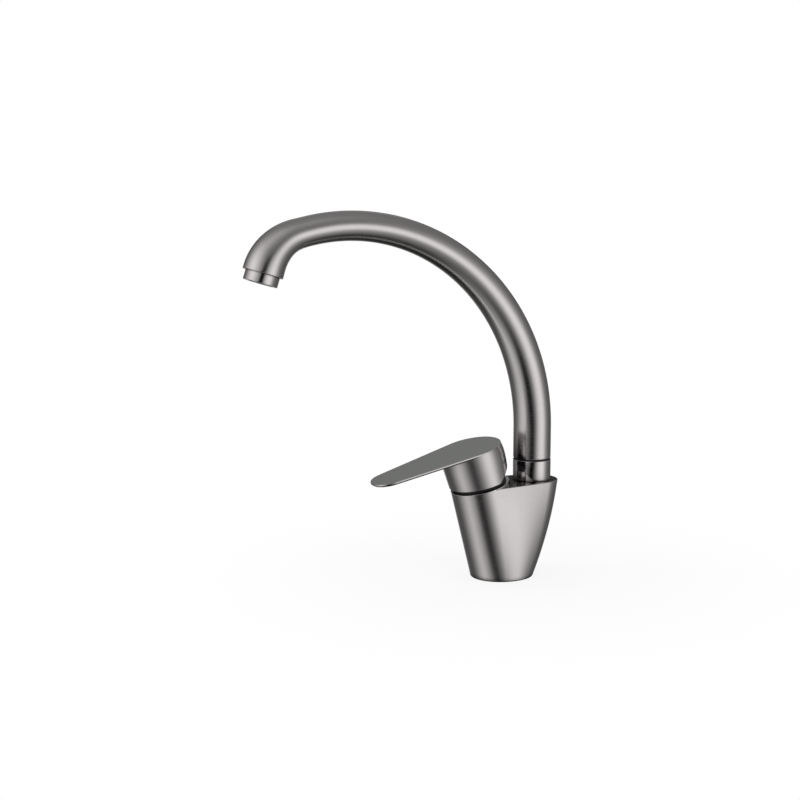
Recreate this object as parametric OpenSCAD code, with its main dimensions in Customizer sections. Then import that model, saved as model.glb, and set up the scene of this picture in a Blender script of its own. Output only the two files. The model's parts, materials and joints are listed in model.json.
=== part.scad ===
// Single lever kitchen mixer with a swivelling arched spout.
// Millimetres. +Z is up, -Y is the front (spout and lever side), X = 0 is the plane of symmetry.
// The origin is the centre of the flat underside that stands on the sink deck.

/* [Base] */
// Width of the base, side to side
base_w = 44.6; // [43:0.2:46]
// Depth of the base, front to back
base_l = 49.4; // [47:0.2:54]
// Rounding of the lower edge
base_edge = 1.2; // [0.4:0.1:1.6]

/* [Shoulder behind the cartridge] */
// Height of the flat shoulder that carries the spout
shoulder_z = 74.8; // [72:0.2:78]
// Rear end of the shoulder, measured from the origin
shoulder_rear_y = 47.7; // [46.5:0.1:50]
// Plan radius of the shoulder's rear end
shoulder_rear_r = 18.5; // [18:0.1:20]
// How far the back bulges past a straight line from base to shoulder
back_bulge = 3; // [0.5:0.1:4]

/* [Cartridge housing] */
// Forward tilt of the cartridge axis, degrees
tilt = 13.9; // [11.5:0.1:16]
// Diameter of the housing at its rim
housing_d = 46.4; // [45.6:0.2:48]
// Distance along the tilted axis from the deck to the rim
rim_s = 76.7; // [74:0.1:80]
// Depth of the cartridge seat below the rim
seat_depth = 26.7; // [26:0.1:28]
// Radial clearance round the cartridge in its bore
cartridge_clear = 0.3; // [0.1:0.05:0.5]

/* [Water ways] */
// Wall diameter of a hose inlet, M10 x 1 thread
inlet_d = 8.92; // [8.4:0.02:9.4]
// Depth of a hose inlet
inlet_h = 12; // [9:0.5:15]
// Distance between the two hose inlets
inlet_spacing = 16; // [14:0.5:18]
// Distance of the hose inlets in front of the origin
inlet_y = 5; // [4:0.5:7]
// Wall diameter of the fixing stud hole, M8 thread
stud_d = 6.8; // [6:0.1:7.5]
// Depth of the fixing stud hole
stud_h = 16; // [12:0.5:20]
// Distance of the fixing stud hole behind the origin
stud_y = 10; // [9:0.5:12]
// Diameter of the two supply channels
supply_d = 5; // [4:0.1:5.4]
// Diameter of the channel to the spout
outlet_channel_d = 7; // [6:0.1:7.4]

/* [Base gasket] */
// Mean diameter of the round gasket
gasket_d = 37; // [36:0.2:38]
// Width of the gasket's section
gasket_w = 2; // [1.4:0.1:2.4]
// Height of the gasket in its groove
gasket_h = 1.8; // [1.2:0.1:2.6]

/* [Ceramic cartridge] */
// Outer diameter of the cartridge
cartridge_d = 34.6; // [34:0.1:35.2]
// Thickness of the cartridge's base plate
plate_h = 5; // [4.5:0.1:6]
// Diameter of the cartridge's neck
neck_d = 26.4; // [26:0.1:27]
// Height of the cartridge's shoulder above the seat
cart_shoulder_h = 23; // [22.6:0.1:23.4]
// Wall of the cartridge shell
shell_wall = 2.3; // [2:0.1:2.4]
// Thickness of the fixed ceramic disc
fixed_disc_h = 4; // [3:0.1:4.4]
// Thickness of the moving ceramic disc
moving_disc_h = 3.5; // [3:0.1:3.8]
// Diameter of the moving ceramic disc
moving_disc_d = 23.2; // [22:0.1:23.6]
// Thickness of the carrier on the moving disc
carrier_h = 5; // [4.6:0.1:5.2]
// Distance between the hot and cold ports
port_spacing = 14; // [13.6:0.1:14.4]
// Diameter of the hot and cold ports
port_d = 6; // [5:0.1:6.2]
// Radius of the mixing pocket under the moving disc
pocket_r = 6; // [5:0.1:6.4]
// Distance of the mixed water port behind the axis
mix_port_y = 9.5; // [9.2:0.1:9.8]
// Diameter of the mixed water port
mix_port_d = 8; // [6.5:0.1:8.2]
// Diameter of a locating peg under the cartridge
peg_d = 3.8; // [3:0.1:4.2]

/* [Cartridge stem] */
// Height of the lift pin above the seat
pin_h = 30; // [29.6:0.1:30.4]
// Diameter of the lift pin
pin_d = 3; // [2.5:0.1:3.4]
// Side of the square stem
stem_w = 8; // [7:0.1:8.4]
// Length of the square stem below the pin
stem_down = 5; // [4:0.1:5.4]
// Length of the stem above the pin
stem_up = 20.5; // [18:0.5:21.5]
// Distance from the pin down to the centre of the stem's ball
stem_arm = 14.5; // [14.3:0.1:14.6]
// Diameter of the stem's ball
ball_d = 4.6; // [4:0.1:4.7]
// Full travel of the lever from closed to open, degrees
lift_travel = 22; // [16:1:22]

/* [Nut and cover] */
// Outer diameter of the clamping nut's thread, M38 x 1.5
nut_d = 38; // [37.4:0.1:38.6]
// Width across flats of the nut's hexagon
nut_flats = 30; // [28.6:0.2:30.6]
// Height of the hexagon above the rim
nut_hex_h = 3.3; // [2:0.1:4]
// Gap between the nut and the stop ring
stop_gap = 1.6; // [1:0.1:2]
// Height of the stop ring on the cartridge's neck
stop_ring_h = 4.4; // [3.6:0.1:5]
// Outer diameter of the cover's foot
cover_d = 41.2; // [40.6:0.1:41.6]
// How far the cover's top lies above the neck's top
cover_rise = 0.9; // [0.8:0.1:1.4]
// Wall of the cover
cover_wall = 1.2; // [0.8:0.1:1.4]

/* [Handle] */
// Gap between the housing's rim and the handle's skirt
skirt_gap = 3; // [2.6:0.1:3.4]
// Diameter of the handle's skirt at its lower edge
skirt_d = 47.6; // [47:0.1:48.4]
// Diameter of the hub below the lever plate
hub_top_d = 49.2; // [48.4:0.1:50]
// Height of the handle from the skirt's edge to the top of the plate
handle_h = 28.4; // [27.6:0.1:30]
// How far the hub leans forward at its top
hub_lean = 2; // [1:0.1:2.6]
// Diameter of the hollow inside the hub
hub_bore_d = 42.6; // [42.2:0.1:43]
// Thickness of the hub's roof under the plate's top
roof_h = 6.8; // [5:0.1:7.4]
// Thickness of the lever plate
lever_h = 2.4; // [2:0.1:3.6]
// Bevel on the lower edge of the lever plate
lever_bevel = 1.2; // [0.6:0.1:1.6]
// Diameter of the lever plate's round rear end
lever_rear_d = 49.6; // [49:0.1:51]
// Diameter of the lever plate's round tip
lever_tip_d = 30.4; // [26:0.2:36]
// Distance from the axis to the centre of the tip's round
lever_reach = 72.8; // [60:0.2:80]
// Where the relief at the back of the skirt starts, behind the axis
relief_start = 5.5; // [4.6:0.1:6]
// Slope of the relief at the back of the skirt, degrees
relief_angle = 31; // [29:0.5:34]
// Diameter of the boss that holds the stem
boss_d = 16; // [15:0.2:17]
// Thread diameter of the handle's grub screw, M5
grub_d = 5; // [4:0.1:5.4]
// Length of the handle's grub screw
grub_l = 8; // [6:0.5:10]
// Diameter of the cap over the grub screw
cap_d = 7; // [6.6:0.1:8]
// Thickness of the cap
cap_h = 1.5; // [1:0.1:2]

/* [Spout foot] */
// Distance of the spout's swivel axis behind the origin
spout_y = 26.9; // [26.5:0.1:27.5]
// How much wider the fixed collar is than the tube's foot
collar_step = 0.2; // [0:0.1:1]
// Height of the collar above the shoulder
collar_h = 16.2; // [15:0.1:18]
// Diameter of the collar's thread in the body, M26 x 1
collar_thread_d = 26; // [25.4:0.1:26.6]
// Length of the collar's thread
collar_thread_h = 8; // [6:0.1:9]
// Thickness of the slip ring's flange, seen as the dark groove
slip_flange_h = 1.2; // [0.9:0.1:1.6]
// How much narrower the slip ring's flange is than the tube's foot
slip_flange_step = 1; // [0.6:0.1:1.6]
// Length of the slip ring's sleeve inside the collar
slip_sleeve_h = 8; // [5:0.5:10]
// Outer diameter of the nipple that turns in the body
nipple_d = 22.56; // [22.2:0.02:22.8]
// Bore of the nipple
nipple_bore_d = 16; // [14:0.2:16.4]
// Depth of the well under the nipple
well_h = 10.5; // [9:0.5:12]
// Height of the lower O-ring groove above the nipple's end
seal_low = 2.6; // [2:0.1:3]
// Distance between the two O-ring grooves
seal_pitch = 5; // [4.6:0.1:6]
// Height of the bearing ring's groove above the nipple's end
bearing_up = 19; // [17:0.5:21]
// Height of the bearing ring
bearing_h = 3; // [2.5:0.1:3.5]
// Length of the nipple below the slip ring
nipple_h = 47.6; // [46:0.2:48.6]
// Length of the nipple's plug inside the tube
plug_h = 11; // [8:0.5:16]
// Depth of the O-ring grooves
groove_depth = 1.8; // [1.5:0.1:1.9]
// Thickness of an O-ring's section
oring_d = 1.7; // [1.4:0.1:1.74]
// Thread diameter of the spout's retaining screw, M5
retainer_d = 5; // [4.2:0.1:5.4]
// Height of the retaining screw above the deck
retainer_z = 60; // [59.6:0.1:60.4]
// Length of the retaining screw
retainer_l = 7.5; // [6:0.1:8]

/* [Spout tube] */
// Diameter of the tube at its foot
tube_foot_d = 29.4; // [29:0.1:30.4]
// Diameter of the tube's slender part
tube_neck_d = 22; // [20:0.1:24]
// Diameter of the tube at its outlet
tube_tip_d = 29.9; // [29.6:0.1:31]
// Wall of the tube
tube_wall = 1.5; // [1.3:0.1:1.6]
// Height where the straight foot ends and the arch begins
arch_z = 116.8; // [110:0.2:130]
// Radius of the large arch
arch_r = 160.2; // [140:0.2:180]
// Turn of the large arch, degrees
arch_turn = 104.5; // [95:0.5:112]
// Radius of the small bend before the outlet
bend_r = 36.4; // [28:0.2:44]
// Angle between the outlet and a plumb line, degrees
outlet_angle = 18; // [8:0.5:26]
// Straight length at the outlet
tip_straight = 3.4; // [2:0.1:8]
// Distance along the tube where it begins to get slender
slim_start = 40; // [10:1:60]
// Distance along the tube where it is slender
slim_end = 288; // [230:1:295]
// Length of the flare before the rim
flare_l = 48; // [30:1:60]

/* [Aerator] */
// Diameter of the aerator's thread, M24 x 1
aerator_thread_d = 22.9; // [22.5:0.1:23.3]
// Length of the aerator's thread
aerator_thread_h = 4.6; // [4:0.1:5]
// Height of the dark step between tube and aerator
aerator_step_h = 1.2; // [0.8:0.1:1.6]
// Height of the visible aerator ring
aerator_ring_h = 6; // [5:0.1:8]
// Diameter of the aerator ring at the step
aerator_top_d = 25.5; // [25:0.1:26.4]
// Diameter of the aerator ring at its end
aerator_end_d = 24.4; // [24:0.1:25]
// Bore of the aerator
aerator_bore_d = 20.4; // [19.8:0.1:20.6]
// Diameter of a hole in the aerator's core
core_hole_d = 2; // [1.4:0.1:2.4]
// Thickness of the aerator's screen
screen_h = 0.8; // [0.5:0.1:1.2]
// Width of a screen opening
screen_hole = 1.3; // [1:0.1:1.5]
// Distance between screen openings
screen_pitch = 2; // [1.8:0.1:2.4]

/* [Fits] */
// Radial clearance of a turning fit
run_clear = 0.07; // [0.03:0.01:0.09]
// Radial clearance of a screwed or pushed in fit
seat_clear = 0.05; // [0.02:0.01:0.1]
// Clearance between faces that slide past each other
face_clear = 0.1; // [0.05:0.05:0.2]
// Radial clearance of loose parts
loose_clear = 0.3; // [0.2:0.05:0.4]

/* [Hidden] */

$fn = 64;
// Sides of the circles inside a hull
hull_sides = 48;
// Sides and step of the swept tube
tube_sides = 32;
arch_steps = 18;
bend_steps = 8;
// How far a cutter reaches past the face that it opens
past = 1;
// Thickness of a thin disc inside a hull
leaf = 0.02;
// Large enough to clear any part of the body
far_away = 120;

// Body, derived
base_r = base_w / 2;
foot_y = base_r / cos(tilt) - base_l / 2;
base_rear_y = base_l / 2 - base_r;
rim_r = housing_d / 2;
seat_s = rim_s - seat_depth;
bore_r = cartridge_d / 2 + cartridge_clear;
back_levels = 6;

// Cartridge, derived, heights above the seat
rim_h = seat_depth;
neck_top_h = rim_h + nut_hex_h + stop_gap + stop_ring_h;
cover_h = neck_top_h + cover_rise - rim_h;
disc_h = plate_h + fixed_disc_h;
carrier_z = disc_h + moving_disc_h;
flange_z = carrier_z + carrier_h + 0.4;
flange_h = 3;
shell_r = cartridge_d / 2;
shell_in_r = shell_r - shell_wall;
neck_r = neck_d / 2;
rotor_r = neck_r - 1.9;
seal_h = 1.6;
seal_wall = 1.6;
peg_h = 3;
stem_lean = lift_travel / 2;
disc_offset = stem_arm * sin(stem_lean);
slot_half_y = stem_w / 2 + (neck_top_h - pin_h) * tan(stem_lean) + 0.6;
thread_h = seat_depth - cart_shoulder_h;

// Handle, derived, heights above the seat
skirt_h = rim_h + skirt_gap;
plate_top_h = skirt_h + handle_h;
plate_low_h = plate_top_h - lever_h;
boss_up = 11.5;
screw_up = 16;
hub_shift = hub_lean / 4;
screw_h = pin_h + screw_up * cos(stem_lean);
hub_front = skirt_d / 2 + (hub_top_d / 2 - skirt_d / 2 + hub_lean) * (screw_h - 4.3 - skirt_h) / handle_h;
cap_face = hub_front - screw_up * sin(stem_lean) - 0.1;

// Spout, derived
collar_d = tube_foot_d + collar_step;
slip_flange_d = tube_foot_d - slip_flange_step;
collar_top_z = shoulder_z + collar_h;
tube_z = collar_top_z + slip_flange_h + face_clear;
socket_r = nipple_d / 2 + run_clear;
nipple_z = tube_z - nipple_h;
socket_z = nipple_z - 0.4;
well_z = nipple_z - well_h;
drilling_h = 12;
pilot_h = 6;
pilot_r = supply_d / 2 + 0.5;
sleeve_r = socket_r + 1.2;
groove_r = nipple_d / 2 - groove_depth;
straight_l = arch_z - tube_z;
arch_l = arch_r * arch_turn * PI / 180;
end_turn = 180 - outlet_angle;
bend_l = bend_r * (end_turn - arch_turn) * PI / 180;
tube_l = straight_l + arch_l + bend_l + tip_straight;
flare_start = tube_l - flare_l;
arch_end = [spout_y - arch_r + arch_r * cos(arch_turn), arch_z + arch_r * sin(arch_turn)];
bend_mid = arch_end - bend_r * [cos(arch_turn), sin(arch_turn)];
bend_end = bend_mid + bend_r * [cos(end_turn), sin(end_turn)];
tip_end = bend_end + tip_straight * [-sin(end_turn), cos(end_turn)];

// Moves children into the tilted frame of the cartridge, with z = 0 on its seat
module in_cartridge() {
    translate([0, foot_y, 0])
        rotate([tilt, 0, 0])
            translate([0, 0, seat_s])
                children();
}

// Moves children into the frame of the stem at rest, with z = 0 on the lift pin
module in_stem() {
    in_cartridge()
        translate([0, 0, pin_h])
            rotate([stem_lean, 0, 0])
                children();
}

// Moves children to the spout's outlet, with +Z along the flow
module at_outlet() {
    translate([0, tip_end[0], tip_end[1]])
        rotate([end_turn, 0, 0])
            children();
}

// A ring with straight walls
module ring(outer_r, inner_r, h) {
    rotate_extrude()
        translate([inner_r, 0])
            square([outer_r - inner_r, h]);
}

// A round rod from point a to point b
module rod(a, b, r) {
    v = b - a;
    translate(a)
        rotate([0, acos(v[2] / norm(v)), atan2(v[1], v[0])])
            cylinder(r = r, h = norm(v));
}

// A point of the tilted frame, with z measured from the deck along the axis
function on_axis(x, y, s) = [x, foot_y + y * cos(tilt) - s * sin(tilt), y * sin(tilt) + s * cos(tilt)];

// The three places of the ports in the cartridge's seat
function port_places() = [
    [-port_spacing / 2, 1, port_d / 2],
    [port_spacing / 2, 1, port_d / 2],
    [0, mix_port_y, mix_port_d / 2]
];

// Centre in Y and radius of the back's round end at height z
function back_r(z) = base_r + (shoulder_rear_r - base_r) * z / shoulder_z;
function back_line(z) = base_l / 2 + (shoulder_rear_y - base_l / 2) * z / shoulder_z;
function back_y(z) = back_line(z) + back_bulge * (1 - pow(2 * z / shoulder_z - 1, 2)) - back_r(z);

// One level of the base: the tilted housing cut level in front, a circle behind
module base_level(z, inset, h) {
    translate([0, foot_y - z * tan(tilt), z])
        scale([1, 1 / cos(tilt), 1])
            cylinder(r = base_r - inset, h = h, $fn = hull_sides);
    translate([0, base_rear_y, z])
        cylinder(r = base_r - inset, h = h, $fn = hull_sides);
}

// Outer form of the body before its shoulder is cut level
module body_form() {
    hull() {
        base_level(0, base_edge, leaf);
        base_level(0.3 * base_edge, 0.3 * base_edge, leaf);
        base_level(base_edge, 0, leaf);
        for (i = [1 : back_levels]) {
            z = shoulder_z * i / back_levels;
            translate([0, back_y(z), z - leaf])
                cylinder(r = back_r(z), h = leaf, $fn = hull_sides);
        }
        translate(on_axis(0, 0, rim_s))
            rotate([tilt, 0, 0])
                translate([0, 0, -leaf])
                    cylinder(r = rim_r, h = leaf, $fn = hull_sides);
    }
}

// Everything above the shoulder that doesn't belong to the tilted housing
module above_shoulder() {
    difference() {
        translate([-far_away / 2, -far_away / 2, shoulder_z])
            cube([far_away, far_away, far_away]);
        translate([0, foot_y, 0])
            rotate([tilt, 0, 0])
                cylinder(r = rim_r - 0.2, h = far_away);
    }
}

// Supply channels from the inlets to the seat, and the channel to the spout
module water_ways() {
    for (side = [-1, 1]) {
        translate([side * inlet_spacing / 2, -inlet_y, -past])
            cylinder(d = inlet_d, h = inlet_h + past);
        translate([side * inlet_spacing / 2, -inlet_y, inlet_h - past])
            cylinder(r = pilot_r, h = pilot_h + past);
        rod([side * inlet_spacing / 2, -inlet_y, inlet_h + pilot_h / 2],
            on_axis(side * port_spacing / 2, 1, seat_s - 0.6 * drilling_h), supply_d / 2);
    }
    in_cartridge()
        for (p = port_places())
            translate([p[0], p[1], -drilling_h])
                cylinder(r = p[2], h = drilling_h + past);
    rod(on_axis(0, mix_port_y, seat_s - 0.6 * drilling_h), [0, spout_y, well_z + 0.6 * outlet_channel_d],
        outlet_channel_d / 2);
    translate([0, spout_y, well_z])
        cylinder(d = nipple_bore_d, h = nipple_z - well_z);
    translate([0, stud_y, -past])
        cylinder(d = stud_d, h = stud_h + past);
}

// The tilted bore that takes the cartridge and its nut
module cartridge_bore() {
    in_cartridge() {
        cylinder(r = bore_r, h = far_away);
        translate([0, 0, cart_shoulder_h - 1])
            cylinder(r = nut_d / 2 + seat_clear, h = far_away);
        for (side = [-1, 1])
            translate([side * peg_x(), peg_y(), -peg_h - loose_clear])
                cylinder(d = peg_d + 2 * loose_clear, h = peg_h + 1);
    }
}
function peg_x() = 12;
function peg_y() = -7;

// The upright socket for the collar and the turning nipple
module spout_socket() {
    translate([0, spout_y, shoulder_z - collar_thread_h - face_clear])
        cylinder(r = collar_thread_d / 2 + seat_clear, h = far_away);
    translate([0, spout_y, socket_z])
        cylinder(r = socket_r, h = far_away);
    translate([0, spout_y, retainer_z])
        rotate([-90, 0, 0])
            cylinder(d = retainer_d + 2 * seat_clear, h = far_away);
}

// The cast body with all its bores
module mixer_body() {
    color("#a8a5a2")
        difference() {
            body_form();
            above_shoulder();
            cartridge_bore();
            water_ways();
            spout_socket();
            translate([0, 0, -past])
                ring((gasket_d + gasket_w) / 2 + seat_clear, (gasket_d - gasket_w) / 2 - seat_clear,
                    gasket_h + past);
        }
}

// Round gasket, flush with the underside
module base_gasket() {
    color("#2a2a2a")
        ring((gasket_d + gasket_w) / 2, (gasket_d - gasket_w) / 2, gasket_h);
}

// Plastic base plate of the cartridge, with its seal recesses and pegs
module cartridge_base() {
    color("#d8d8d0")
        in_cartridge() {
            difference() {
                cylinder(r = shell_r, h = plate_h);
                for (p = port_places()) {
                    translate([p[0], p[1], -past])
                        cylinder(r = p[2], h = plate_h + 2 * past);
                    translate([p[0], p[1], -past])
                        cylinder(r = p[2] + seal_wall + seat_clear, h = seal_h + past);
                }
            }
            for (side = [-1, 1])
                translate([side * peg_x(), peg_y(), -peg_h])
                    cylinder(d = peg_d, h = peg_h + 1);
        }
}

// Rubber rings that seal the three ports on the seat
module port_seals() {
    color("#303030")
        in_cartridge()
            for (p = port_places())
                translate([p[0], p[1], 0])
                    ring(p[2] + seal_wall, p[2] + 0.1, seal_h);
}

// Lower ceramic disc, keyed in the shell
module fixed_disc() {
    color("#f4f2ea")
        in_cartridge()
            translate([0, 0, plate_h])
                difference() {
                    cylinder(r = shell_in_r - loose_clear, h = fixed_disc_h);
                    for (p = port_places())
                        translate([p[0], p[1], -past])
                            cylinder(r = p[2], h = fixed_disc_h + 2 * past);
                }
}

// Upper ceramic disc with its mixing pocket, at rest in the closed place
module moving_disc() {
    color("#f4f2ea")
        in_cartridge()
            translate([0, disc_offset, disc_h])
                difference() {
                    cylinder(d = moving_disc_d, h = moving_disc_h);
                    translate([0, 4.6, -past])
                        cylinder(r = pocket_r, h = moving_disc_h / 2 + past);
                }
}

// Carrier that pushes the moving disc
module disc_carrier() {
    color("#b04a3a")
        in_cartridge()
            translate([0, disc_offset, carrier_z])
                difference() {
                    cylinder(d = moving_disc_d - 0.6, h = carrier_h);
                    translate([0, 0, 0.5])
                        cylinder(d = ball_d + 2 * loose_clear, h = carrier_h);
                }
}

// Outer shell of the cartridge, with its neck
module cartridge_shell() {
    color("#d8d8d0")
        in_cartridge()
            difference() {
                union() {
                    translate([0, 0, plate_h])
                        cylinder(r = shell_r, h = cart_shoulder_h - plate_h);
                    translate([0, 0, plate_h])
                        cylinder(r = neck_r, h = neck_top_h - plate_h);
                }
                translate([0, 0, plate_h - past])
                    cylinder(r = shell_in_r, h = flange_z + flange_h + face_clear - plate_h + past);
                cylinder(r = rotor_r + run_clear, h = far_away);
            }
}

// Turning stem holder inside the neck
module cartridge_rotor() {
    color("#6d7074")
        in_cartridge()
            difference() {
                union() {
                    translate([0, 0, flange_z])
                        cylinder(r = shell_in_r - loose_clear, h = flange_h);
                    translate([0, 0, flange_z])
                        cylinder(r = rotor_r, h = neck_top_h + 0.5 - flange_z);
                }
                translate([-stem_w / 2 - loose_clear / 2, -slot_half_y, flange_z - past])
                    cube([stem_w + loose_clear, 2 * slot_half_y, neck_top_h]);
                translate([-far_away / 2, 0, pin_h])
                    rotate([0, 90, 0])
                        cylinder(r = pin_d / 2 + 0.02, h = far_away);
            }
}

// Steel pin across the rotor
module stem_pin() {
    color("#c9ccd0")
        in_cartridge()
            translate([-rotor_r + 0.4, 0, pin_h])
                rotate([0, 90, 0])
                    cylinder(d = pin_d, h = 2 * rotor_r - 0.8);
}

// Square stem with its lower arm and ball, closed
module stem() {
    color("#c9b26a")
        in_stem() {
            difference() {
                translate([-stem_w / 2, -stem_w / 2, -stem_down])
                    cube([stem_w, stem_w, stem_up + stem_down]);
                translate([-far_away / 2, 0, 0])
                    rotate([0, 90, 0])
                        cylinder(r = pin_d / 2 + run_clear, h = far_away);
            }
            translate([0, 0, -stem_arm])
                cylinder(r = ball_d / 2 - 0.4, h = stem_arm - stem_down + 1);
            translate([0, 0, -stem_arm])
                sphere(d = ball_d);
        }
}

// Ring on the neck that limits how hot the water gets
module stop_ring() {
    color("#c23b2e")
        in_cartridge()
            translate([0, 0, neck_top_h - stop_ring_h])
                ring(neck_r + 1.8, neck_r + seat_clear, stop_ring_h);
}

// Brass nut that clamps the cartridge
module cartridge_nut() {
    color("#c7a34f")
        in_cartridge()
            difference() {
                union() {
                    translate([0, 0, cart_shoulder_h])
                        cylinder(d = nut_d, h = thread_h - 0.2);
                    translate([0, 0, cart_shoulder_h])
                        cylinder(d = nut_flats / cos(30), h = thread_h + nut_hex_h, $fn = 6);
                }
                cylinder(r = neck_r + seat_clear, h = far_away);
            }
}

// Dark cover over the nut, seen in the gap under the handle
module cartridge_cover() {
    r = cover_d / 2;
    top_r = neck_r + 4;
    color("#1d1d1f")
        in_cartridge()
            translate([0, 0, rim_h])
                rotate_extrude()
                    polygon([
                        [nut_flats / 2 / cos(30) + 0.5, 0],
                        [r, 0],
                        [r, 1.2],
                        [r - 1.1, 4.6],
                        [top_r, cover_h - 0.6],
                        [top_r - 0.8, cover_h],
                        [neck_r + 0.4, cover_h],
                        [neck_r + 0.4, cover_h - 0.75],
                        [top_r - cover_wall - 0.3, cover_h - 0.75],
                        [r - 1.2 - cover_wall, 4.4],
                        [nut_flats / 2 / cos(30) + 0.5, 3.5]
                    ]);
}

// Outer form of the hub: it leans forward and widens towards the lever
module hub_form() {
    hull() {
        translate([0, 0, skirt_h])
            cylinder(d = skirt_d, h = leaf, $fn = hull_sides);
        translate([0, -hub_lean, plate_low_h + lever_bevel])
            cylinder(d = hub_top_d, h = leaf, $fn = hull_sides);
    }
}

// Flat lever plate, round at both ends, bevelled below
module lever_form() {
    hull()
        for (p = [[-hub_lean - 0.3, lever_rear_d], [-lever_reach, lever_tip_d]]) {
            translate([0, p[0], plate_low_h])
                cylinder(d = p[1] - 2 * lever_bevel, h = leaf, $fn = hull_sides);
            translate([0, p[0], plate_low_h + lever_bevel])
                cylinder(d = p[1], h = lever_h - lever_bevel, $fn = hull_sides);
        }
}

// Handle: hollow hub, stem boss and lever plate in one casting
module handle() {
    color("#a9a5a1")
        difference() {
            union() {
                in_cartridge() {
                    difference() {
                        hub_form();
                        translate([0, -hub_shift, skirt_h - past])
                            cylinder(d = hub_bore_d, h = plate_top_h - roof_h - skirt_h + past);
                    }
                    lever_form();
                }
                in_stem() {
                    translate([0, 0, boss_up])
                        cylinder(d = boss_d, h = stem_up + 2 - boss_up);
                    translate([-grub_d, -hub_bore_d / 2, boss_up])
                        cube([2 * grub_d, hub_bore_d / 2 - 2, stem_up + 1 - boss_up]);
                }
            }
            in_stem() {
                translate([-stem_w / 2 - 0.1, -stem_w / 2 - 0.1, 0])
                    cube([stem_w + 0.2, stem_w + 0.2, stem_up + 0.3]);
                translate([0, 0, screw_up])
                    rotate([90, 0, 0]) {
                        cylinder(d = grub_d + 2 * seat_clear, h = far_away);
                        translate([0, 0, cap_face - cap_h])
                            cylinder(d = cap_d + 2 * seat_clear, h = far_away);
                    }
            }
            in_cartridge()
                translate([-far_away / 2, relief_start, skirt_h])
                    rotate([relief_angle, 0, 0])
                        translate([0, 0, -far_away])
                            cube([far_away, far_away, far_away]);
        }
}

// Socket set screw that clamps the handle to the stem
module handle_grub_screw() {
    color("#3a3b3d")
        in_stem()
            translate([0, -stem_w / 2 - seat_clear, screw_up])
                rotate([90, 0, 0])
                    difference() {
                        cylinder(d = grub_d, h = grub_l);
                        translate([0, 0, grub_l - 3])
                            cylinder(d = 0.5 * grub_d / cos(30), h = 4, $fn = 6);
                    }
}

// Flush cap over the grub screw, under the lever
module index_cap() {
    color("#b5b2ae")
        in_stem()
            translate([0, -cap_face + cap_h, screw_up])
                rotate([90, 0, 0])
                    cylinder(d = cap_d, h = cap_h);
}

// Fixed collar, screwed into the shoulder
module spout_collar() {
    color("#bdbbb9")
        translate([0, spout_y, 0])
            difference() {
                union() {
                    translate([0, 0, shoulder_z])
                        cylinder(d = collar_d, h = collar_h);
                    translate([0, 0, shoulder_z - collar_thread_h])
                        cylinder(d = collar_thread_d, h = collar_thread_h + past);
                }
                translate([0, 0, socket_z])
                    cylinder(r = socket_r, h = far_away);
                translate([0, 0, collar_top_z - slip_sleeve_h - face_clear])
                    cylinder(r = sleeve_r + seat_clear, h = far_away);
            }
}

// Plastic slip ring between collar and tube
module spout_slip_ring() {
    color("#1b1b1d")
        translate([0, spout_y, collar_top_z])
            rotate_extrude()
                polygon([
                    [socket_r, -slip_sleeve_h],
                    [sleeve_r, -slip_sleeve_h],
                    [sleeve_r, 0],
                    [slip_flange_d / 2, 0],
                    [slip_flange_d / 2, slip_flange_h],
                    [socket_r, slip_flange_h]
                ]);
}

// Heights of the grooves on the nipple, above its lower end
function seal_heights() = [seal_low, seal_low + seal_pitch];
function retainer_height() = retainer_z - nipple_z - retainer_groove_w() / 2;
function retainer_groove_w() = retainer_d - 0.6;
function seal_groove_w() = oring_d + 0.5;

// Brass nipple that carries the tube and turns in the body
module spout_nipple() {
    color("#c7a34f")
        translate([0, spout_y, 0])
            difference() {
                union() {
                    translate([0, 0, nipple_z])
                        cylinder(d = nipple_d, h = nipple_h + past);
                    translate([0, 0, tube_z])
                        cylinder(r = plug_r(), h = plug_h);
                }
                translate([0, 0, nipple_z - past])
                    cylinder(d = nipple_bore_d, h = nipple_h + plug_h + 2 * past);
                for (h = seal_heights())
                    translate([0, 0, nipple_z + h])
                        ring(nipple_d, groove_r, seal_groove_w());
                translate([0, 0, nipple_z + bearing_up])
                    ring(nipple_d, groove_r, bearing_h + 2 * face_clear);
                translate([0, 0, nipple_z + retainer_height()])
                    ring(nipple_d, groove_r, retainer_groove_w());
            }
}
function plug_r() = (tube_foot_d / 2 - tube_wall) * cos(180 / tube_sides) - seat_clear;

// Plastic bearing ring in the nipple's upper groove
module nipple_bearing_ring() {
    color("#e6e4dc")
        translate([0, spout_y, nipple_z + bearing_up + face_clear])
            ring(nipple_d / 2, groove_r + seat_clear, bearing_h);
}

// Two O-rings that seal the nipple in its socket
module nipple_o_rings() {
    color("#262626")
        for (h = seal_heights())
            translate([0, spout_y, nipple_z + h + seal_groove_w() / 2])
                rotate_extrude()
                    translate([groove_r + seat_clear + oring_d / 2, 0])
                        circle(d = oring_d);
}

// Set screw at the back: its point runs in the nipple's groove
module spout_retaining_screw() {
    dog_d = 0.7 * retainer_d;
    dog_l = 2.2;
    color("#3a3b3d")
        translate([0, spout_y + groove_r + loose_clear, retainer_z])
            rotate([-90, 0, 0])
                difference() {
                    union() {
                        cylinder(d = dog_d, h = dog_l + 1);
                        translate([0, 0, dog_l])
                            cylinder(d = retainer_d, h = retainer_l - dog_l);
                    }
                    translate([0, 0, retainer_l - 3])
                        cylinder(d = 0.5 * retainer_d / cos(30), h = 4, $fn = 6);
                }
}

// Smooth step from 0 to 1 between a and b
function ease(t, a, b) = t <= a ? 0 : t >= b ? 1 : let (u = (t - a) / (b - a)) u * u * (3 - 2 * u);

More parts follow.
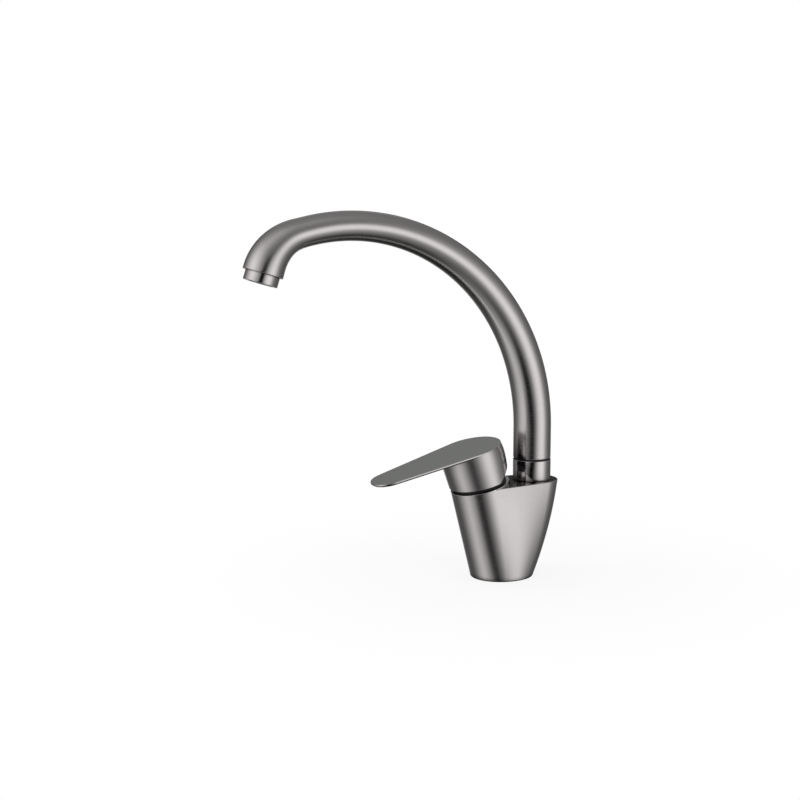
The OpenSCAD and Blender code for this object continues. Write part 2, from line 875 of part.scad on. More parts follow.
// Outer radius of the tube at distance t along it
function tube_r(t) = (tube_foot_d
    + (tube_neck_d - tube_foot_d) * ease(t, slim_start, slim_end)
    + (tube_tip_d - tube_neck_d) * ease(t, flare_start, tube_l)) / 2;

// Rings of the tube: distance along it, heading from the vertical, and centre
function arch_ring(a) = [straight_l + arch_r * a * PI / 180, a,
    spout_y - arch_r + arch_r * cos(a), arch_z + arch_r * sin(a)];
function bend_ring(a) = [straight_l + arch_l + bend_r * (a - arch_turn) * PI / 180, a,
    bend_mid[0] + bend_r * cos(a), bend_mid[1] + bend_r * sin(a)];
tube_rings = concat(
    [[0, 0, spout_y, tube_z]],
    [for (i = [0 : arch_steps]) arch_ring(arch_turn * i / arch_steps)],
    [for (i = [1 : bend_steps]) bend_ring(arch_turn + (end_turn - arch_turn) * i / bend_steps)],
    [[tube_l, end_turn, tip_end[0], tip_end[1]]]
);

// Points of one ring, at radius r
function ring_points(g, r) = [for (i = [0 : tube_sides - 1])
    let (q = 360 * i / tube_sides)
    [r * cos(q), g[2] + r * sin(q) * cos(g[1]), g[3] + r * sin(q) * sin(g[1])]];

// Closed skin of a tube with a bore: outer rings, then inner rings
module swept_tube(rings, wall) {
    n = tube_sides;
    m = len(rings);
    outer = [for (g = rings) each ring_points(g, tube_r(g[0]))];
    inner = [for (g = rings) each ring_points(g, tube_r(g[0]) - wall)];
    faces = [
        for (k = [0 : m - 2], i = [0 : n - 1])
            let (a = k * n + i, b = k * n + (i + 1) % n)
            each [[a, a + n, b + n], [a, b + n, b]],
        for (k = [0 : m - 2], i = [0 : n - 1])
            let (a = (m + k) * n + i, b = (m + k) * n + (i + 1) % n)
            each [[a, b + n, a + n], [a, b, b + n]],
        for (i = [0 : n - 1])
            let (j = (i + 1) % n, o = m * n)
            each [[i, j, o + j], [i, o + j, o + i]],
        for (i = [0 : n - 1])
            let (j = (i + 1) % n, a = (m - 1) * n, o = (2 * m - 1) * n)
            each [[a + i, o + j, a + j], [a + i, o + i, o + j]]
    ];
    polyhedron(points = concat(outer, inner), faces = faces, convexity = 6);
}

// Arched tube: straight foot, large arch, small bend, flared outlet
module spout_tube() {
    color("#a6a39f")
        swept_tube(tube_rings, tube_wall);
}

// Threaded bush brazed into the outlet
module outlet_bush() {
    r = (tube_r(tube_l - tip_straight) - tube_wall) * cos(180 / tube_sides) - seat_clear;
    color("#c7a34f")
        at_outlet()
            translate([0, 0, -tip_straight])
                ring(r, aerator_thread_d / 2 + seat_clear, tip_straight);
}

// Screw-in aerator housing
module aerator_housing() {
    end_z = aerator_step_h + aerator_ring_h;
    color("#b4b2b0")
        at_outlet()
            difference() {
                union() {
                    translate([0, 0, -aerator_thread_h])
                        cylinder(d = aerator_thread_d, h = aerator_thread_h + past);
                    cylinder(d = aerator_end_d, h = aerator_step_h + past);
                    translate([0, 0, aerator_step_h])
                        cylinder(d1 = aerator_top_d, d2 = aerator_end_d, h = aerator_ring_h);
                }
                translate([0, 0, -aerator_thread_h - past])
                    cylinder(d = aerator_bore_d, h = aerator_thread_h + end_z + past - 1);
                cylinder(d = aerator_bore_d - 1.6, h = far_away);
            }
}

// Rubber washer on the aerator's inner end
module aerator_washer() {
    color("#262626")
        at_outlet()
            translate([0, 0, -aerator_thread_h - face_clear - 1.4])
                ring(aerator_thread_d / 2 - 0.8, aerator_bore_d / 2 - 2.5, 1.4);
}

// Plastic core with a ring pattern of jets
module aerator_core() {
    color("#e2e2dc")
        at_outlet()
            translate([0, 0, -aerator_thread_h])
                difference() {
                    cylinder(d = aerator_bore_d - 2 * seat_clear, h = core_h());
                    for (row = [[2.6, 6], [5.6, 12], [8, 18]], i = [0 : row[1] - 1])
                        rotate([0, 0, 360 * i / row[1]])
                            translate([row[0], 0, -past])
                                cylinder(d = core_hole_d, h = core_h() + 2 * past, $fn = 16);
                }
}
function core_h() = aerator_thread_h + aerator_step_h + aerator_ring_h - 1 - screen_h - 2 * face_clear;

// Fine screen at the mouth
module aerator_screen() {
    reach = 3;
    color("#8d9093")
        at_outlet()
            translate([0, 0, core_h() - aerator_thread_h + face_clear])
                difference() {
                    cylinder(d = aerator_bore_d - 2 * seat_clear, h = screen_h);
                    for (i = [-reach : reach], j = [-reach : reach])
                        if (norm([i, j]) <= reach + 0.2)
                            translate([i * screen_pitch - screen_hole / 2,
                                j * screen_pitch - screen_hole / 2, -past])
                                cube([screen_hole, screen_hole, screen_h + 2 * past]);
                }
}

mixer_body();
base_gasket();
cartridge_base();
port_seals();
fixed_disc();
moving_disc();
disc_carrier();
cartridge_shell();
cartridge_rotor();
stem_pin();
stem();
stop_ring();
cartridge_nut();
cartridge_cover();
handle();
handle_grub_screw();
index_cap();
spout_collar();
spout_slip_ring();
spout_nipple();
nipple_bearing_ring();
nipple_o_rings();
spout_retaining_screw();
spout_tube();
outlet_bush();
aerator_housing();
aerator_washer();
aerator_core();
aerator_screen();
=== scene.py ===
"""Looks of a single lever kitchen mixer: smooth castings, brushed and polished nickel, studio light.

Metres, +Z up, -Y to the front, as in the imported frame. The pieces repeat the solids' sizes.
"""
import json
import math

import bmesh
import bpy
from mathutils import Matrix, Vector


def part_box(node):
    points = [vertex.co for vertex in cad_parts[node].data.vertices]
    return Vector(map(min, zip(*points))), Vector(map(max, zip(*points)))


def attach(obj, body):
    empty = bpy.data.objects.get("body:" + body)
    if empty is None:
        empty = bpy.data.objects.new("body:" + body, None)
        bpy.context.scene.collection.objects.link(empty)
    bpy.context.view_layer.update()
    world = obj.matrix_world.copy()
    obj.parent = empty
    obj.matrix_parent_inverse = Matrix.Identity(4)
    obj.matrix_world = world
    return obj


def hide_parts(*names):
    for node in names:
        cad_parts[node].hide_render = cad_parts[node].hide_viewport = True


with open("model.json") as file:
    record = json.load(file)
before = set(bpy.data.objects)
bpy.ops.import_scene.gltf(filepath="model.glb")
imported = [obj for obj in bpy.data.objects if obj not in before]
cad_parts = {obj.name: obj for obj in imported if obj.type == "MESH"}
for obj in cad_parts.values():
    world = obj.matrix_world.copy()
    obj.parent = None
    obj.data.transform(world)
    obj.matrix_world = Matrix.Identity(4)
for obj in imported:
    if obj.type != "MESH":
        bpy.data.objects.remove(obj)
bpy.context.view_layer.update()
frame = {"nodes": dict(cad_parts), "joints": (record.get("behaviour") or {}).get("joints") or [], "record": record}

MM = 0.001
JOINTS = {joint["name"]: joint for joint in frame["joints"]}

# Clearances, and how far a cutter reaches past the face it opens
FIT = 0.05 * MM
FACE_CLEARANCE = 0.1 * MM
PAST = 1 * MM
FAR = 60 * MM
WIDE = 100 * MM

# Body casting
BASE_W = 44.6 * MM
BASE_L = 49.4 * MM
BASE_R = BASE_W / 2
BASE_EDGE = 1.2 * MM
SHOULDER_Z = 74.8 * MM
SHOULDER_REAR = 47.7 * MM
SHOULDER_R = 18.5 * MM
BACK_BULGE = 3 * MM
SIDE_TURN_FOOT = math.radians(18)
SIDE_TURN_TOP = math.radians(2)
RIM_R = 23.2 * MM
RIM_S = 76.7 * MM
SEAT_S = 50 * MM
SHOULDER_EDGE = 0.6 * MM
RIM_EDGE = 0.35 * MM
NUT_THREAD_R = 19.05 * MM
NUT_THREAD_S = 72 * MM
NUT_RECESS_W = 1.5 * MM
CARTRIDGE_BORE_R = 17.6 * MM
SOCKET_FLOOR_Z = 44.3 * MM
GASKET_IN_R = 17.45 * MM
GASKET_OUT_R = 19.55 * MM
GASKET_DEPTH = 1.8 * MM
SCREW_HOLE_R = 2.55 * MM
BACK_HOLE_START = 10 * MM
BACK_HOLE_END = 40 * MM

# The tilted axis of the cartridge, from the joint that turns the handle
TILT = math.asin(-JOINTS["temperature_turn"]["axis"][1])
FOOT_Y = JOINTS["temperature_turn"]["pos_m"][1]
SIN_T = math.sin(TILT)
COS_T = math.cos(TILT)

# Handle, heights along the tilted axis from the deck
SKIRT_S = 79.7 * MM
SKIRT_R = 23.8 * MM
HUB_TOP_R = 24.6 * MM
HUB_LEAN = 2 * MM
HUB_EDGE = 0.25 * MM
HUB_REAR_SWELL = 1.2 * MM
HUB_BORE_R = 21.3 * MM
ROOF_S = 101.3 * MM
PLATE_TOP_S = 108.1 * MM
PLATE_H = 2.4 * MM
PLATE_BEVEL = 1.2 * MM
PLATE_WALL = 0.4 * MM
PLATE_EDGE = 0.35 * MM
PLATE_REAR_Y = -2.3 * MM
PLATE_REAR_R = 24.8 * MM
PLATE_TIP_Y = -72.8 * MM
PLATE_TIP_R = 15.2 * MM
RELIEF_START = 5.5 * MM
RELIEF_ANGLE = math.radians(31)
PIN_S = 80 * MM
STEM_LEAN = math.radians(11)
BOSS_R = 8 * MM
BOSS_UP = 11.5 * MM
HUB_PAST = 2 * MM
STEM_UP = 20.5 * MM
STEM_W = 8.2 * MM
STEM_GAP = 0.3 * MM
WEB_W = 10 * MM
WEB_FRONT = 2 * MM
WEB_PAST = 1 * MM
CAP_UP = 16 * MM
CAP_R = 3.55 * MM
CAP_SEAT = 20.3 * MM

# Spout
SPOUT_Y = JOINTS["spout_swivel"]["pos_m"][1]
SPOUT_AXIS = Matrix.Translation((0, SPOUT_Y, 0))
COLLAR_R = 14.8 * MM
COLLAR_TOP = 91 * MM
COLLAR_EDGE = 0.35 * MM
SLEEVE_R = 12.6 * MM
SLEEVE_H = 8 * MM
SOCKET_R = 11.35 * MM
COLLAR_THREAD_R = 13 * MM
COLLAR_THREAD_Z = 66.8 * MM
SLIP_R = 14.2 * MM
SLIP_TOP = 92.2 * MM
SLIP_EDGE = 0.2 * MM
TUBE_Z = 92.3 * MM
TUBE_FOOT_R = 14.7 * MM
TUBE_NECK_R = 11 * MM
TUBE_TIP_R = 14.95 * MM
TUBE_WALL = 1.5 * MM
TUBE_EDGE = 0.4 * MM
ARCH_Z = 116.8 * MM
ARCH_R = 160.2 * MM
ARCH_TURN = math.radians(104.5)
BEND_R = 36.4 * MM
END_TURN = math.radians(162)
TIP_STRAIGHT = 3.4 * MM
SLIM_START = 40 * MM
SLIM_END = 288 * MM
FLARE_L = 48 * MM

# Aerator, along the flow from the tube's rim
RING_END = 7.2 * MM
RING_R = 12.7 * MM
RING_EDGE = 0.4 * MM
THREAD_R = 11.45 * MM
THREAD_H = 4.6 * MM
AERATOR_BORE_R = 10.2 * MM
LIP_W = 0.8 * MM
LIP_H = 1 * MM

# Camera, measured from the photograph: where it stands round the tap, and how far
CAMERA_AZIMUTH = math.radians(62.5)
CAMERA_ELEVATION = math.radians(8.88)
CAMERA_DISTANCE = 1.275
CAMERA_TARGET = Vector((-0.0002, -0.0898, 0.1458))
CAMERA_LENS = 76.5
CAMERA_SENSOR = 36


def smoothstep(value, start, end):
    """0 before start, 1 after end, smooth between."""
    share = min(1, max(0, (value - start) / (end - start)))
    return share * share * (3 - 2 * share)


def quarter(count, radius):
    """Inset and rise of a rounded edge, from the wall to the face on it."""
    steps = [math.pi / 2 * i / count for i in range(count + 1)]
    return [(radius * (1 - math.cos(a)), radius * math.sin(a)) for a in steps]


class Skin:
    """Collects strips of quads between rows of points, and welds them into one closed mesh."""

    def __init__(self):
        self.bm = bmesh.new()

    def strip(self, rows, closed=False):
        """Quads between successive rows. A closed strip joins each row's ends."""
        made = [[self.bm.verts.new(p) for p in row] for row in rows]
        count = len(rows[0])
        for near, far in zip(made, made[1:]):
            for i in range(count if closed else count - 1):
                j = (i + 1) % count
                self.bm.faces.new((near[i], near[j], far[j], far[i]))

    def mirrored(self, rows):
        """The strip and its mirror image across X = 0."""
        self.strip(rows)
        self.strip([[Vector((-p.x, p.y, p.z)) for p in row] for row in rows])

    def lid(self, points):
        """One flat face over a ring of points."""
        self.bm.faces.new([self.bm.verts.new(p) for p in points])

    def half_lid(self, points):
        """One flat face over half a ring of points and its mirror image."""
        self.lid(points + [Vector((-p.x, p.y, p.z)) for p in reversed(points[1:-1])])

    def barrel(self, rows):
        """Closed strip with a lid at each end."""
        self.strip(rows, closed=True)
        self.lid(rows[0])
        self.lid(rows[-1])

    def piece(self, name):
        """Welds the seams, turns the faces outwards and makes an object of the mesh."""
        bmesh.ops.remove_doubles(self.bm, verts=self.bm.verts, dist=0.002 * MM)
        bmesh.ops.dissolve_degenerate(self.bm, edges=self.bm.edges, dist=0.0001 * MM)
        bmesh.ops.recalc_face_normals(self.bm, faces=self.bm.faces)
        mesh = bpy.data.meshes.new(name)
        self.bm.to_mesh(mesh)
        self.bm.free()
        obj = bpy.data.objects.new(name, mesh)
        bpy.context.scene.collection.objects.link(obj)
        smooth(obj)
        return obj


def smooth(obj):
    """Smooth shading, with edges over 30 degrees kept crisp."""
    obj.data.shade_smooth()
    obj.data.set_sharp_from_angle(angle=math.radians(30))


def settle(obj):
    """Applies the modifiers, so that the piece is a plain mesh."""
    depsgraph = bpy.context.evaluated_depsgraph_get()
    mesh = bpy.data.meshes.new_from_object(obj.evaluated_get(depsgraph), depsgraph=depsgraph)
    obj.modifiers.clear()
    old = obj.data
    obj.data = mesh
    bpy.data.meshes.remove(old)
    mesh.name = obj.name


def weigh_normals(obj):
    """Lets large faces lead the shading, so that flats stay flat beside rounded edges."""
    weights = obj.modifiers.new("weights", "WEIGHTED_NORMAL")
    weights.keep_sharp = True
    weights.weight = 60
    settle(obj)


def combine(obj, other, operation):
    """Cuts or joins another closed mesh, which is used up."""
    cut = obj.modifiers.new("cut", "BOOLEAN")
    cut.operation = operation
    cut.solver = "EXACT"
    cut.object = other
    settle(obj)
    mesh = other.data
    bpy.data.objects.remove(other)
    bpy.data.meshes.remove(mesh)


def ring_rows(profile, place, sides):
    """Rows of points that a profile of (radius, height) makes when it turns about place's Z."""
    angles = [2 * math.pi * i / sides for i in range(sides)]
    return [[place @ Vector((r * math.cos(a), r * math.sin(a), z)) for a in angles] for r, z in profile]


def turned(name, profile, place, sides=128, closed=True):
    """A turned piece. A closed profile goes round its section, an open one gets a lid at each end."""
    skin = Skin()
    rows = ring_rows(profile, place, sides)
    if closed:
        skin.strip(rows + [rows[0]], closed=True)
    else:
        skin.barrel(rows)
    return skin.piece(name)


def rod(radius, low, high, place, sides=48):
    """A plain cutter for a round hole."""
    return turned("cutter", [(radius, low), (radius, high)], place, sides, closed=False)


def block(low, high, place):
    """A plain cutter with flat sides."""
    skin = Skin()
    corners = [(low[0], low[1]), (high[0], low[1]), (high[0], high[1]), (low[0], high[1])]
    skin.barrel([[place @ Vector((x, y, z)) for x, y in corners] for z in (low[2], high[2])])
    return skin.piece("cutter")


# Nodes, which lay out the spout, the finishes and the studio
MATHS = "ShaderNodeMath"


def add(tree, kind, inputs=None, output=0, captures=(), **settings):
    """Adds a node and gives one of its outputs. An input is a value, or a socket to link.

    Captures are the kind and name of each value that a capture node keeps.
    """
    made = tree.nodes.new(kind)
    for name, value in settings.items():
        setattr(made, name, value)
    for item in captures:
        made.capture_items.new(*item)
    for key, value in (inputs or {}).items():
        if isinstance(value, bpy.types.NodeSocket):
            tree.links.new(value, made.inputs[key])
        else:
            made.inputs[key].default_value = value
    return made.outputs[output] if made.outputs else None


# Body casting
def housing_radius(s):
    """The housing widens a little from the deck to its rim."""
    return BASE_R + (RIM_R - BASE_R) * s / RIM_S


def on_axis(x, y, s):
    """A point of the tilted housing: y across its axis, s along it from the deck."""
    return Vector((x, FOOT_Y + y * COS_T - s * SIN_T, y * SIN_T + s * COS_T))


def on_housing(psi, s, inset=0.0):
    """A point on the housing at angle psi round its axis."""
    r = housing_radius(s) - inset
    return on_axis(r * math.cos(psi), r * math.sin(psi), s)


def housing_height(psi, z):
    """How far along the axis the housing's wall at angle psi reaches height z."""
    s = z / COS_T
    for _ in range(4):
        s = (z - housing_radius(s) * math.sin(psi) * SIN_T) / COS_T
    return s


def back_circle(z):
    """Centre in Y and radius of the round back at height z."""
    share = z / SHOULDER_Z
    radius = BASE_R + (SHOULDER_R - BASE_R) * share
    line = BASE_L / 2 + (SHOULDER_REAR - BASE_L / 2) * share
    return line + BACK_BULGE * (1 - (2 * share - 1) ** 2) - radius, radius


def side_heading(z):
    """Plan angle at which the flat side leaves the housing, and at which it meets the back."""
    centre, radius = back_circle(z)
    a = housing_radius(z / COS_T)
    b = a / COS_T
    front = FOOT_Y - z * math.tan(TILT)
    low, high = -0.5, 1.0
    for _ in range(40):
        mid = (low + high) / 2
        housing = front * math.sin(mid) + math.hypot(a * math.cos(mid), b * math.sin(mid))
        if centre * math.sin(mid) + radius > housing:
            high = mid
        else:
            low = mid
    return (low + high) / 2


def around_axis(phi):
    """Angle round the tilted axis of the wall that faces plan angle phi."""
    return math.atan2(math.sin(phi), math.cos(phi) * COS_T)


# Columns of points on each half of the casting, from the front round to the back, and rows up its walls
LAST_FRONT = 40
SIDE_STEPS = 28
BACK_STEPS = 32
LAST_COLUMN = LAST_FRONT + SIDE_STEPS + BACK_STEPS
WALL_ROWS = 30
DECK_ROWS = 8
RIM_ROWS = 4
EDGE_ROWS = 6
# A rounded edge takes at most this share of a narrow face
EDGE_SHARE = 0.45
# The rim's rounding fades out over this angle, in radians, where the rim meets the shoulder
RIM_FADE = 0.35
# Angle round the axis where the rim's plane passes through the shoulder's
CROSSING = math.asin((SHOULDER_Z - RIM_S * COS_T) / SIN_T / RIM_R)
CROSSING_SHARE = math.atan2(math.sin(CROSSING) * COS_T, math.cos(CROSSING)) / side_heading(SHOULDER_Z)


def side_turn(z):
    """Half the angle through which the gently curved side turns: rounder at the foot."""
    return SIDE_TURN_FOOT + (SIDE_TURN_TOP - SIDE_TURN_FOOT) * z / SHOULDER_Z


def wall_point(phi, z):
    """The wall's point that faces plan angle phi at height z: housing, long side arc, round back."""
    beta, turn = side_heading(z), side_turn(z)
    centre, radius = back_circle(z)

    def facing(angle):
        return Vector((math.cos(angle), math.sin(angle), 0))

    def housing(angle):
        psi = around_axis(angle)
        return on_housing(psi, housing_height(psi, z))

    back = Vector((0, centre, z))
    extra = (back + radius * facing(beta) - housing(beta)).length / (2 * math.sin(turn))
    if phi <= beta - turn:
        return housing(phi)
    if phi <= beta:
        return housing(phi) + extra * (facing(phi) - facing(beta - turn))
    if phi <= beta + turn:
        return back + radius * facing(phi) - extra * (facing(beta + turn) - facing(phi))
    return back + radius * facing(phi)


def body_column(column, z):
    """A point of the body's right half at height z, with its plan heading: front, side, back."""
    leave = side_heading(z) * CROSSING_SHARE
    end = side_heading(z) + side_turn(z)
    if column <= LAST_FRONT:
        phi = -math.pi / 2 + (leave + math.pi / 2) * column / LAST_FRONT
    elif column <= LAST_FRONT + SIDE_STEPS:
        phi = leave + (end - leave) * (column - LAST_FRONT) / SIDE_STEPS
    else:
        phi = end + (math.pi / 2 - end) * (column - LAST_FRONT - SIDE_STEPS) / BACK_STEPS
    return wall_point(phi, z), phi


def moved_in(point, phi, inset):
    """The point moved level into the body, against its heading."""
    return point - inset * Vector((math.cos(phi), math.sin(phi), 0))


def body_casting():
    """One casting: tilted round housing, flat sides, level shoulder and round back."""
    columns = range(LAST_COLUMN + 1)
    behind = range(LAST_FRONT, LAST_COLUMN + 1)
    # Behind the crossing the housing rises out of the shoulder: its angle, foot and room for roundings
    rear_psi = {j: CROSSING + (math.pi / 2 - CROSSING) * (j - LAST_FRONT) / (LAST_COLUMN - LAST_FRONT)
                for j in behind}
    rear_foot = {j: housing_height(rear_psi[j], SHOULDER_Z) for j in behind}
    foot_in = {j: on_housing(rear_psi[j], rear_foot[j]) for j in behind}
    edge_out = {j: body_column(j, SHOULDER_Z) for j in behind}
    deck_w = {j: (edge_out[j][0] - foot_in[j]).length for j in behind}
    shoulder_edge = {j: min(SHOULDER_EDGE, EDGE_SHARE * deck_w[j]) for j in behind}
    rear_edge = {j: min(RIM_EDGE, EDGE_SHARE * (RIM_S - rear_foot[j])) for j in behind}

    # Each front column ends under the rim, each other column under the shoulder's edge
    front_psi, front_edge, top_z = {}, {}, {}
    for j in range(LAST_FRONT + 1):
        z = SHOULDER_Z
        for _ in range(6):
            psi = around_axis(body_column(j, z)[1])
            edge = RIM_EDGE * smoothstep(CROSSING - psi, 0, RIM_FADE)
            z = on_housing(psi, RIM_S - edge).z
        front_psi[j], front_edge[j], top_z[j] = psi, edge, z
    for j in behind[1:]:
        top_z[j] = SHOULDER_Z - shoulder_edge[j]

    skin = Skin()
    rows = []
    for _, height in quarter(EDGE_ROWS, BASE_EDGE):
        inset = BASE_EDGE - math.sqrt(max(0, BASE_EDGE ** 2 - (BASE_EDGE - height) ** 2))
        rows.append([moved_in(*body_column(j, height), inset) for j in columns])
    for k in range(1, WALL_ROWS):
        rows.append([body_column(j, BASE_EDGE + (top_z[j] - BASE_EDGE) * k / WALL_ROWS)[0] for j in columns])
    for step in range(EDGE_ROWS + 1):
        row = []
        for j in columns:
            if j <= LAST_FRONT:
                inset, rise = quarter(EDGE_ROWS, front_edge[j])[step]
                row.append(on_housing(front_psi[j], RIM_S - front_edge[j] + rise, inset))
            else:
                inset, rise = quarter(EDGE_ROWS, shoulder_edge[j])[step]
                level = moved_in(*edge_out[j], inset)
                row.append(Vector((level.x, level.y, SHOULDER_Z - shoulder_edge[j] + rise)))
        rows.append(row)
    skin.mirrored(rows)
    skin.half_lid(rows[0])

    # Level shoulder from its rounded edge to the housing, then up the housing to the rim
    outer = [rows[-1][j] for j in behind]
    inner = [foot_in[j] for j in behind]
    skin.mirrored([[a.lerp(b, k / DECK_ROWS) for a, b in zip(outer, inner)] for k in range(DECK_ROWS + 1)])
    wall = []
    for k in range(RIM_ROWS):
        climbs = {j: (RIM_S - rear_edge[j] - rear_foot[j]) * k / RIM_ROWS for j in behind}
        wall.append([on_housing(rear_psi[j], rear_foot[j] + climbs[j]) for j in behind])
    for step in range(EDGE_ROWS + 1):
        row = []
        for j in behind:
            inset, rise = quarter(EDGE_ROWS, rear_edge[j])[step]
            row.append(on_housing(rear_psi[j], RIM_S - rear_edge[j] + rise, inset))
        wall.append(row)
    skin.mirrored(wall)

    # Rim's flat ring, thread of the nut and bore of the cartridge
    ring = [rows[-1][j] for j in range(LAST_FRONT + 1)] + wall[-1][1:]
    turns = [front_psi[j] for j in range(LAST_FRONT + 1)] + [rear_psi[j] for j in behind[1:]]

    def bore_row(radius, s):
        return [on_axis(radius * math.cos(t), radius * math.sin(t), s) for t in turns]

    bore = [ring, bore_row(NUT_THREAD_R + NUT_RECESS_W, RIM_S), bore_row(NUT_THREAD_R, RIM_S),
            bore_row(NUT_THREAD_R, NUT_THREAD_S), bore_row(CARTRIDGE_BORE_R, NUT_THREAD_S),
            bore_row(CARTRIDGE_BORE_R, SEAT_S)]
    skin.mirrored(bore)
    skin.half_lid(bore[-1])
    body = skin.piece("body_casting")

    # Inlets, fixing hole and gasket groove in the underside, spout socket, screw hole in the back
    for mount in frame["record"]["mounts"]:
        if mount["kind"] == "threaded_hole":
            place = Matrix.Translation((mount["pos_m"][0], mount["pos_m"][1], 0))
            sizes = mount["dims"]
            combine(body, rod(sizes["r_mm"] * MM, -PAST, sizes["length_mm"] * MM, place), "DIFFERENCE")
    groove = [(GASKET_IN_R, -PAST), (GASKET_OUT_R, -PAST),
              (GASKET_OUT_R, GASKET_DEPTH), (GASKET_IN_R, GASKET_DEPTH)]
    combine(body, turned("cutter", groove, Matrix.Identity(4), 96), "DIFFERENCE")
    thread_floor = COLLAR_THREAD_Z - FACE_CLEARANCE
    combine(body, rod(COLLAR_THREAD_R + FIT, thread_floor, SHOULDER_Z + PAST, SPOUT_AXIS, 96), "DIFFERENCE")
    combine(body, rod(SOCKET_R, SOCKET_FLOOR_Z, SHOULDER_Z, SPOUT_AXIS, 96), "DIFFERENCE")
    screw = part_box("spout_retaining_screw")
    height = (screw[0].z + screw[1].z) / 2
    to_back = Matrix.Translation((0, SPOUT_Y, height)) @ Matrix.Rotation(-math.pi / 2, 4, "X")
    combine(body, rod(SCREW_HOLE_R, BACK_HOLE_START, BACK_HOLE_END, to_back), "DIFFERENCE")
    smooth(body)
    weigh_normals(body)
    return body


# Handle
CARTRIDGE = Matrix.Translation((0, FOOT_Y, 0)) @ Matrix.Rotation(TILT, 4, "X")
STEM = CARTRIDGE @ Matrix.Translation((0, 0, PIN_S)) @ Matrix.Rotation(STEM_LEAN, 4, "X")
GRUB_SCREW = STEM @ Matrix.Translation((0, 0, CAP_UP)) @ Matrix.Rotation(math.pi / 2, 4, "X")


def hub_solid():
    """Round hub that leans forward and widens towards the lever plate, a little fuller at the rear.

    The swell share ** 2 * (1 - share) peaks at 4 / 27, two thirds of the way up.
    """
    sides, levels = 160, 14
    top = PLATE_TOP_S - PLATE_H + PLATE_BEVEL
    skin = Skin()
    sections = [(SKIRT_S + HUB_EDGE - rise, inset) for inset, rise in reversed(quarter(5, HUB_EDGE))]
    start = SKIRT_S + HUB_EDGE
    sections += [(start + (top - start) * k / levels, 0) for k in range(1, levels + 1)]
    rows = []
    for s, inset in sections:
        share = (s - SKIRT_S) / (top - SKIRT_S)
        radius = SKIRT_R + (HUB_TOP_R - SKIRT_R) * share - inset
        fuller = 1 + 27 / 4 * share ** 2 * (1 - share) * HUB_REAR_SWELL / radius
        row = ring_rows([(radius, 0)], Matrix.Identity(4), sides)[0]
        row = [Vector((p.x, p.y * fuller if p.y > 0 else p.y, s)) for p in row]
        rows.append([CARTRIDGE @ (p - Vector((0, HUB_LEAN * share, 0))) for p in row])
    skin.barrel(rows)
    return skin.piece("lever_handle")


def plate_outline(inset):
    """The lever plate's outline: round rear, straight sides, round tip."""
    rear, tip = PLATE_REAR_R - inset, PLATE_TIP_R - inset
    lean = math.asin((rear - tip) / (PLATE_REAR_Y - PLATE_TIP_Y))

    def arc(radius, y, start, sweep, count):
        angles = [start + sweep * k / count for k in range(count + 1)]
        return [(radius * math.cos(a), y + radius * math.sin(a)) for a in angles]

    behind = arc(rear, PLATE_REAR_Y, -lean, math.pi + 2 * lean, 96)
    ahead = arc(tip, PLATE_TIP_Y, math.pi + lean, math.pi - 2 * lean, 64)
    (x0, y0), (x1, y1) = behind[-1], ahead[0]
    side = [(x0 + (x1 - x0) * k / 20, y0 + (y1 - y0) * k / 20) for k in range(1, 20)]
    return behind + side + ahead + [(-x, y) for x, y in reversed(side)]


def plate_solid():
    """Flat lever plate, bevelled below, with a fine rounded upper edge."""
    low = PLATE_TOP_S - PLATE_H
    sections = [(low, PLATE_BEVEL), (low + PLATE_BEVEL, 0), (low + PLATE_BEVEL + PLATE_WALL, 0)]
    sections += [(PLATE_TOP_S - PLATE_EDGE + rise, inset) for inset, rise in quarter(5, PLATE_EDGE)]
    skin = Skin()
    skin.barrel([[CARTRIDGE @ Vector((x, y, s)) for x, y in plate_outline(inset)] for s, inset in sections])
    return skin.piece("plate")


def lever_handle():
    """Handle in one piece: hollow hub, stem boss, lever plate."""
    handle = hub_solid()
    bore = CARTRIDGE @ Matrix.Translation((0, -HUB_LEAN / 4, 0))
    combine(handle, rod(HUB_BORE_R, SKIRT_S - HUB_PAST, ROOF_S, bore, 128), "DIFFERENCE")
    combine(handle, rod(BOSS_R, BOSS_UP, STEM_UP + HUB_PAST, STEM, 64), "UNION")
    web = block((-WEB_W / 2, -HUB_BORE_R, BOSS_UP), (WEB_W / 2, -WEB_FRONT, STEM_UP + WEB_PAST), STEM)
    combine(handle, web, "UNION")
    combine(handle, plate_solid(), "UNION")
    hole = block((-STEM_W / 2, -STEM_W / 2, 0), (STEM_W / 2, STEM_W / 2, STEM_UP + STEM_GAP), STEM)
    combine(handle, hole, "DIFFERENCE")
    combine(handle, rod(SCREW_HOLE_R, 0, FAR, GRUB_SCREW), "DIFFERENCE")
    combine(handle, rod(CAP_R, CAP_SEAT, FAR, GRUB_SCREW), "DIFFERENCE")
    slope = CARTRIDGE @ Matrix.Translation((0, RELIEF_START, SKIRT_S)) @ Matrix.Rotation(RELIEF_ANGLE, 4, "X")
    combine(handle, block((-WIDE, 0, -WIDE), (WIDE, WIDE, 0), slope), "DIFFERENCE")
    smooth(handle)
    weigh_normals(handle)
    return handle


def handle_cap():
    """Plain cap over the grub screw, shaped flush with the hub."""
    cap = rod(CAP_R - FACE_CLEARANCE, CAP_SEAT + FACE_CLEARANCE, FAR, GRUB_SCREW)
    combine(cap, hub_solid(), "INTERSECT")
    cap.name = "handle_cap"
    smooth(cap)
    return cap


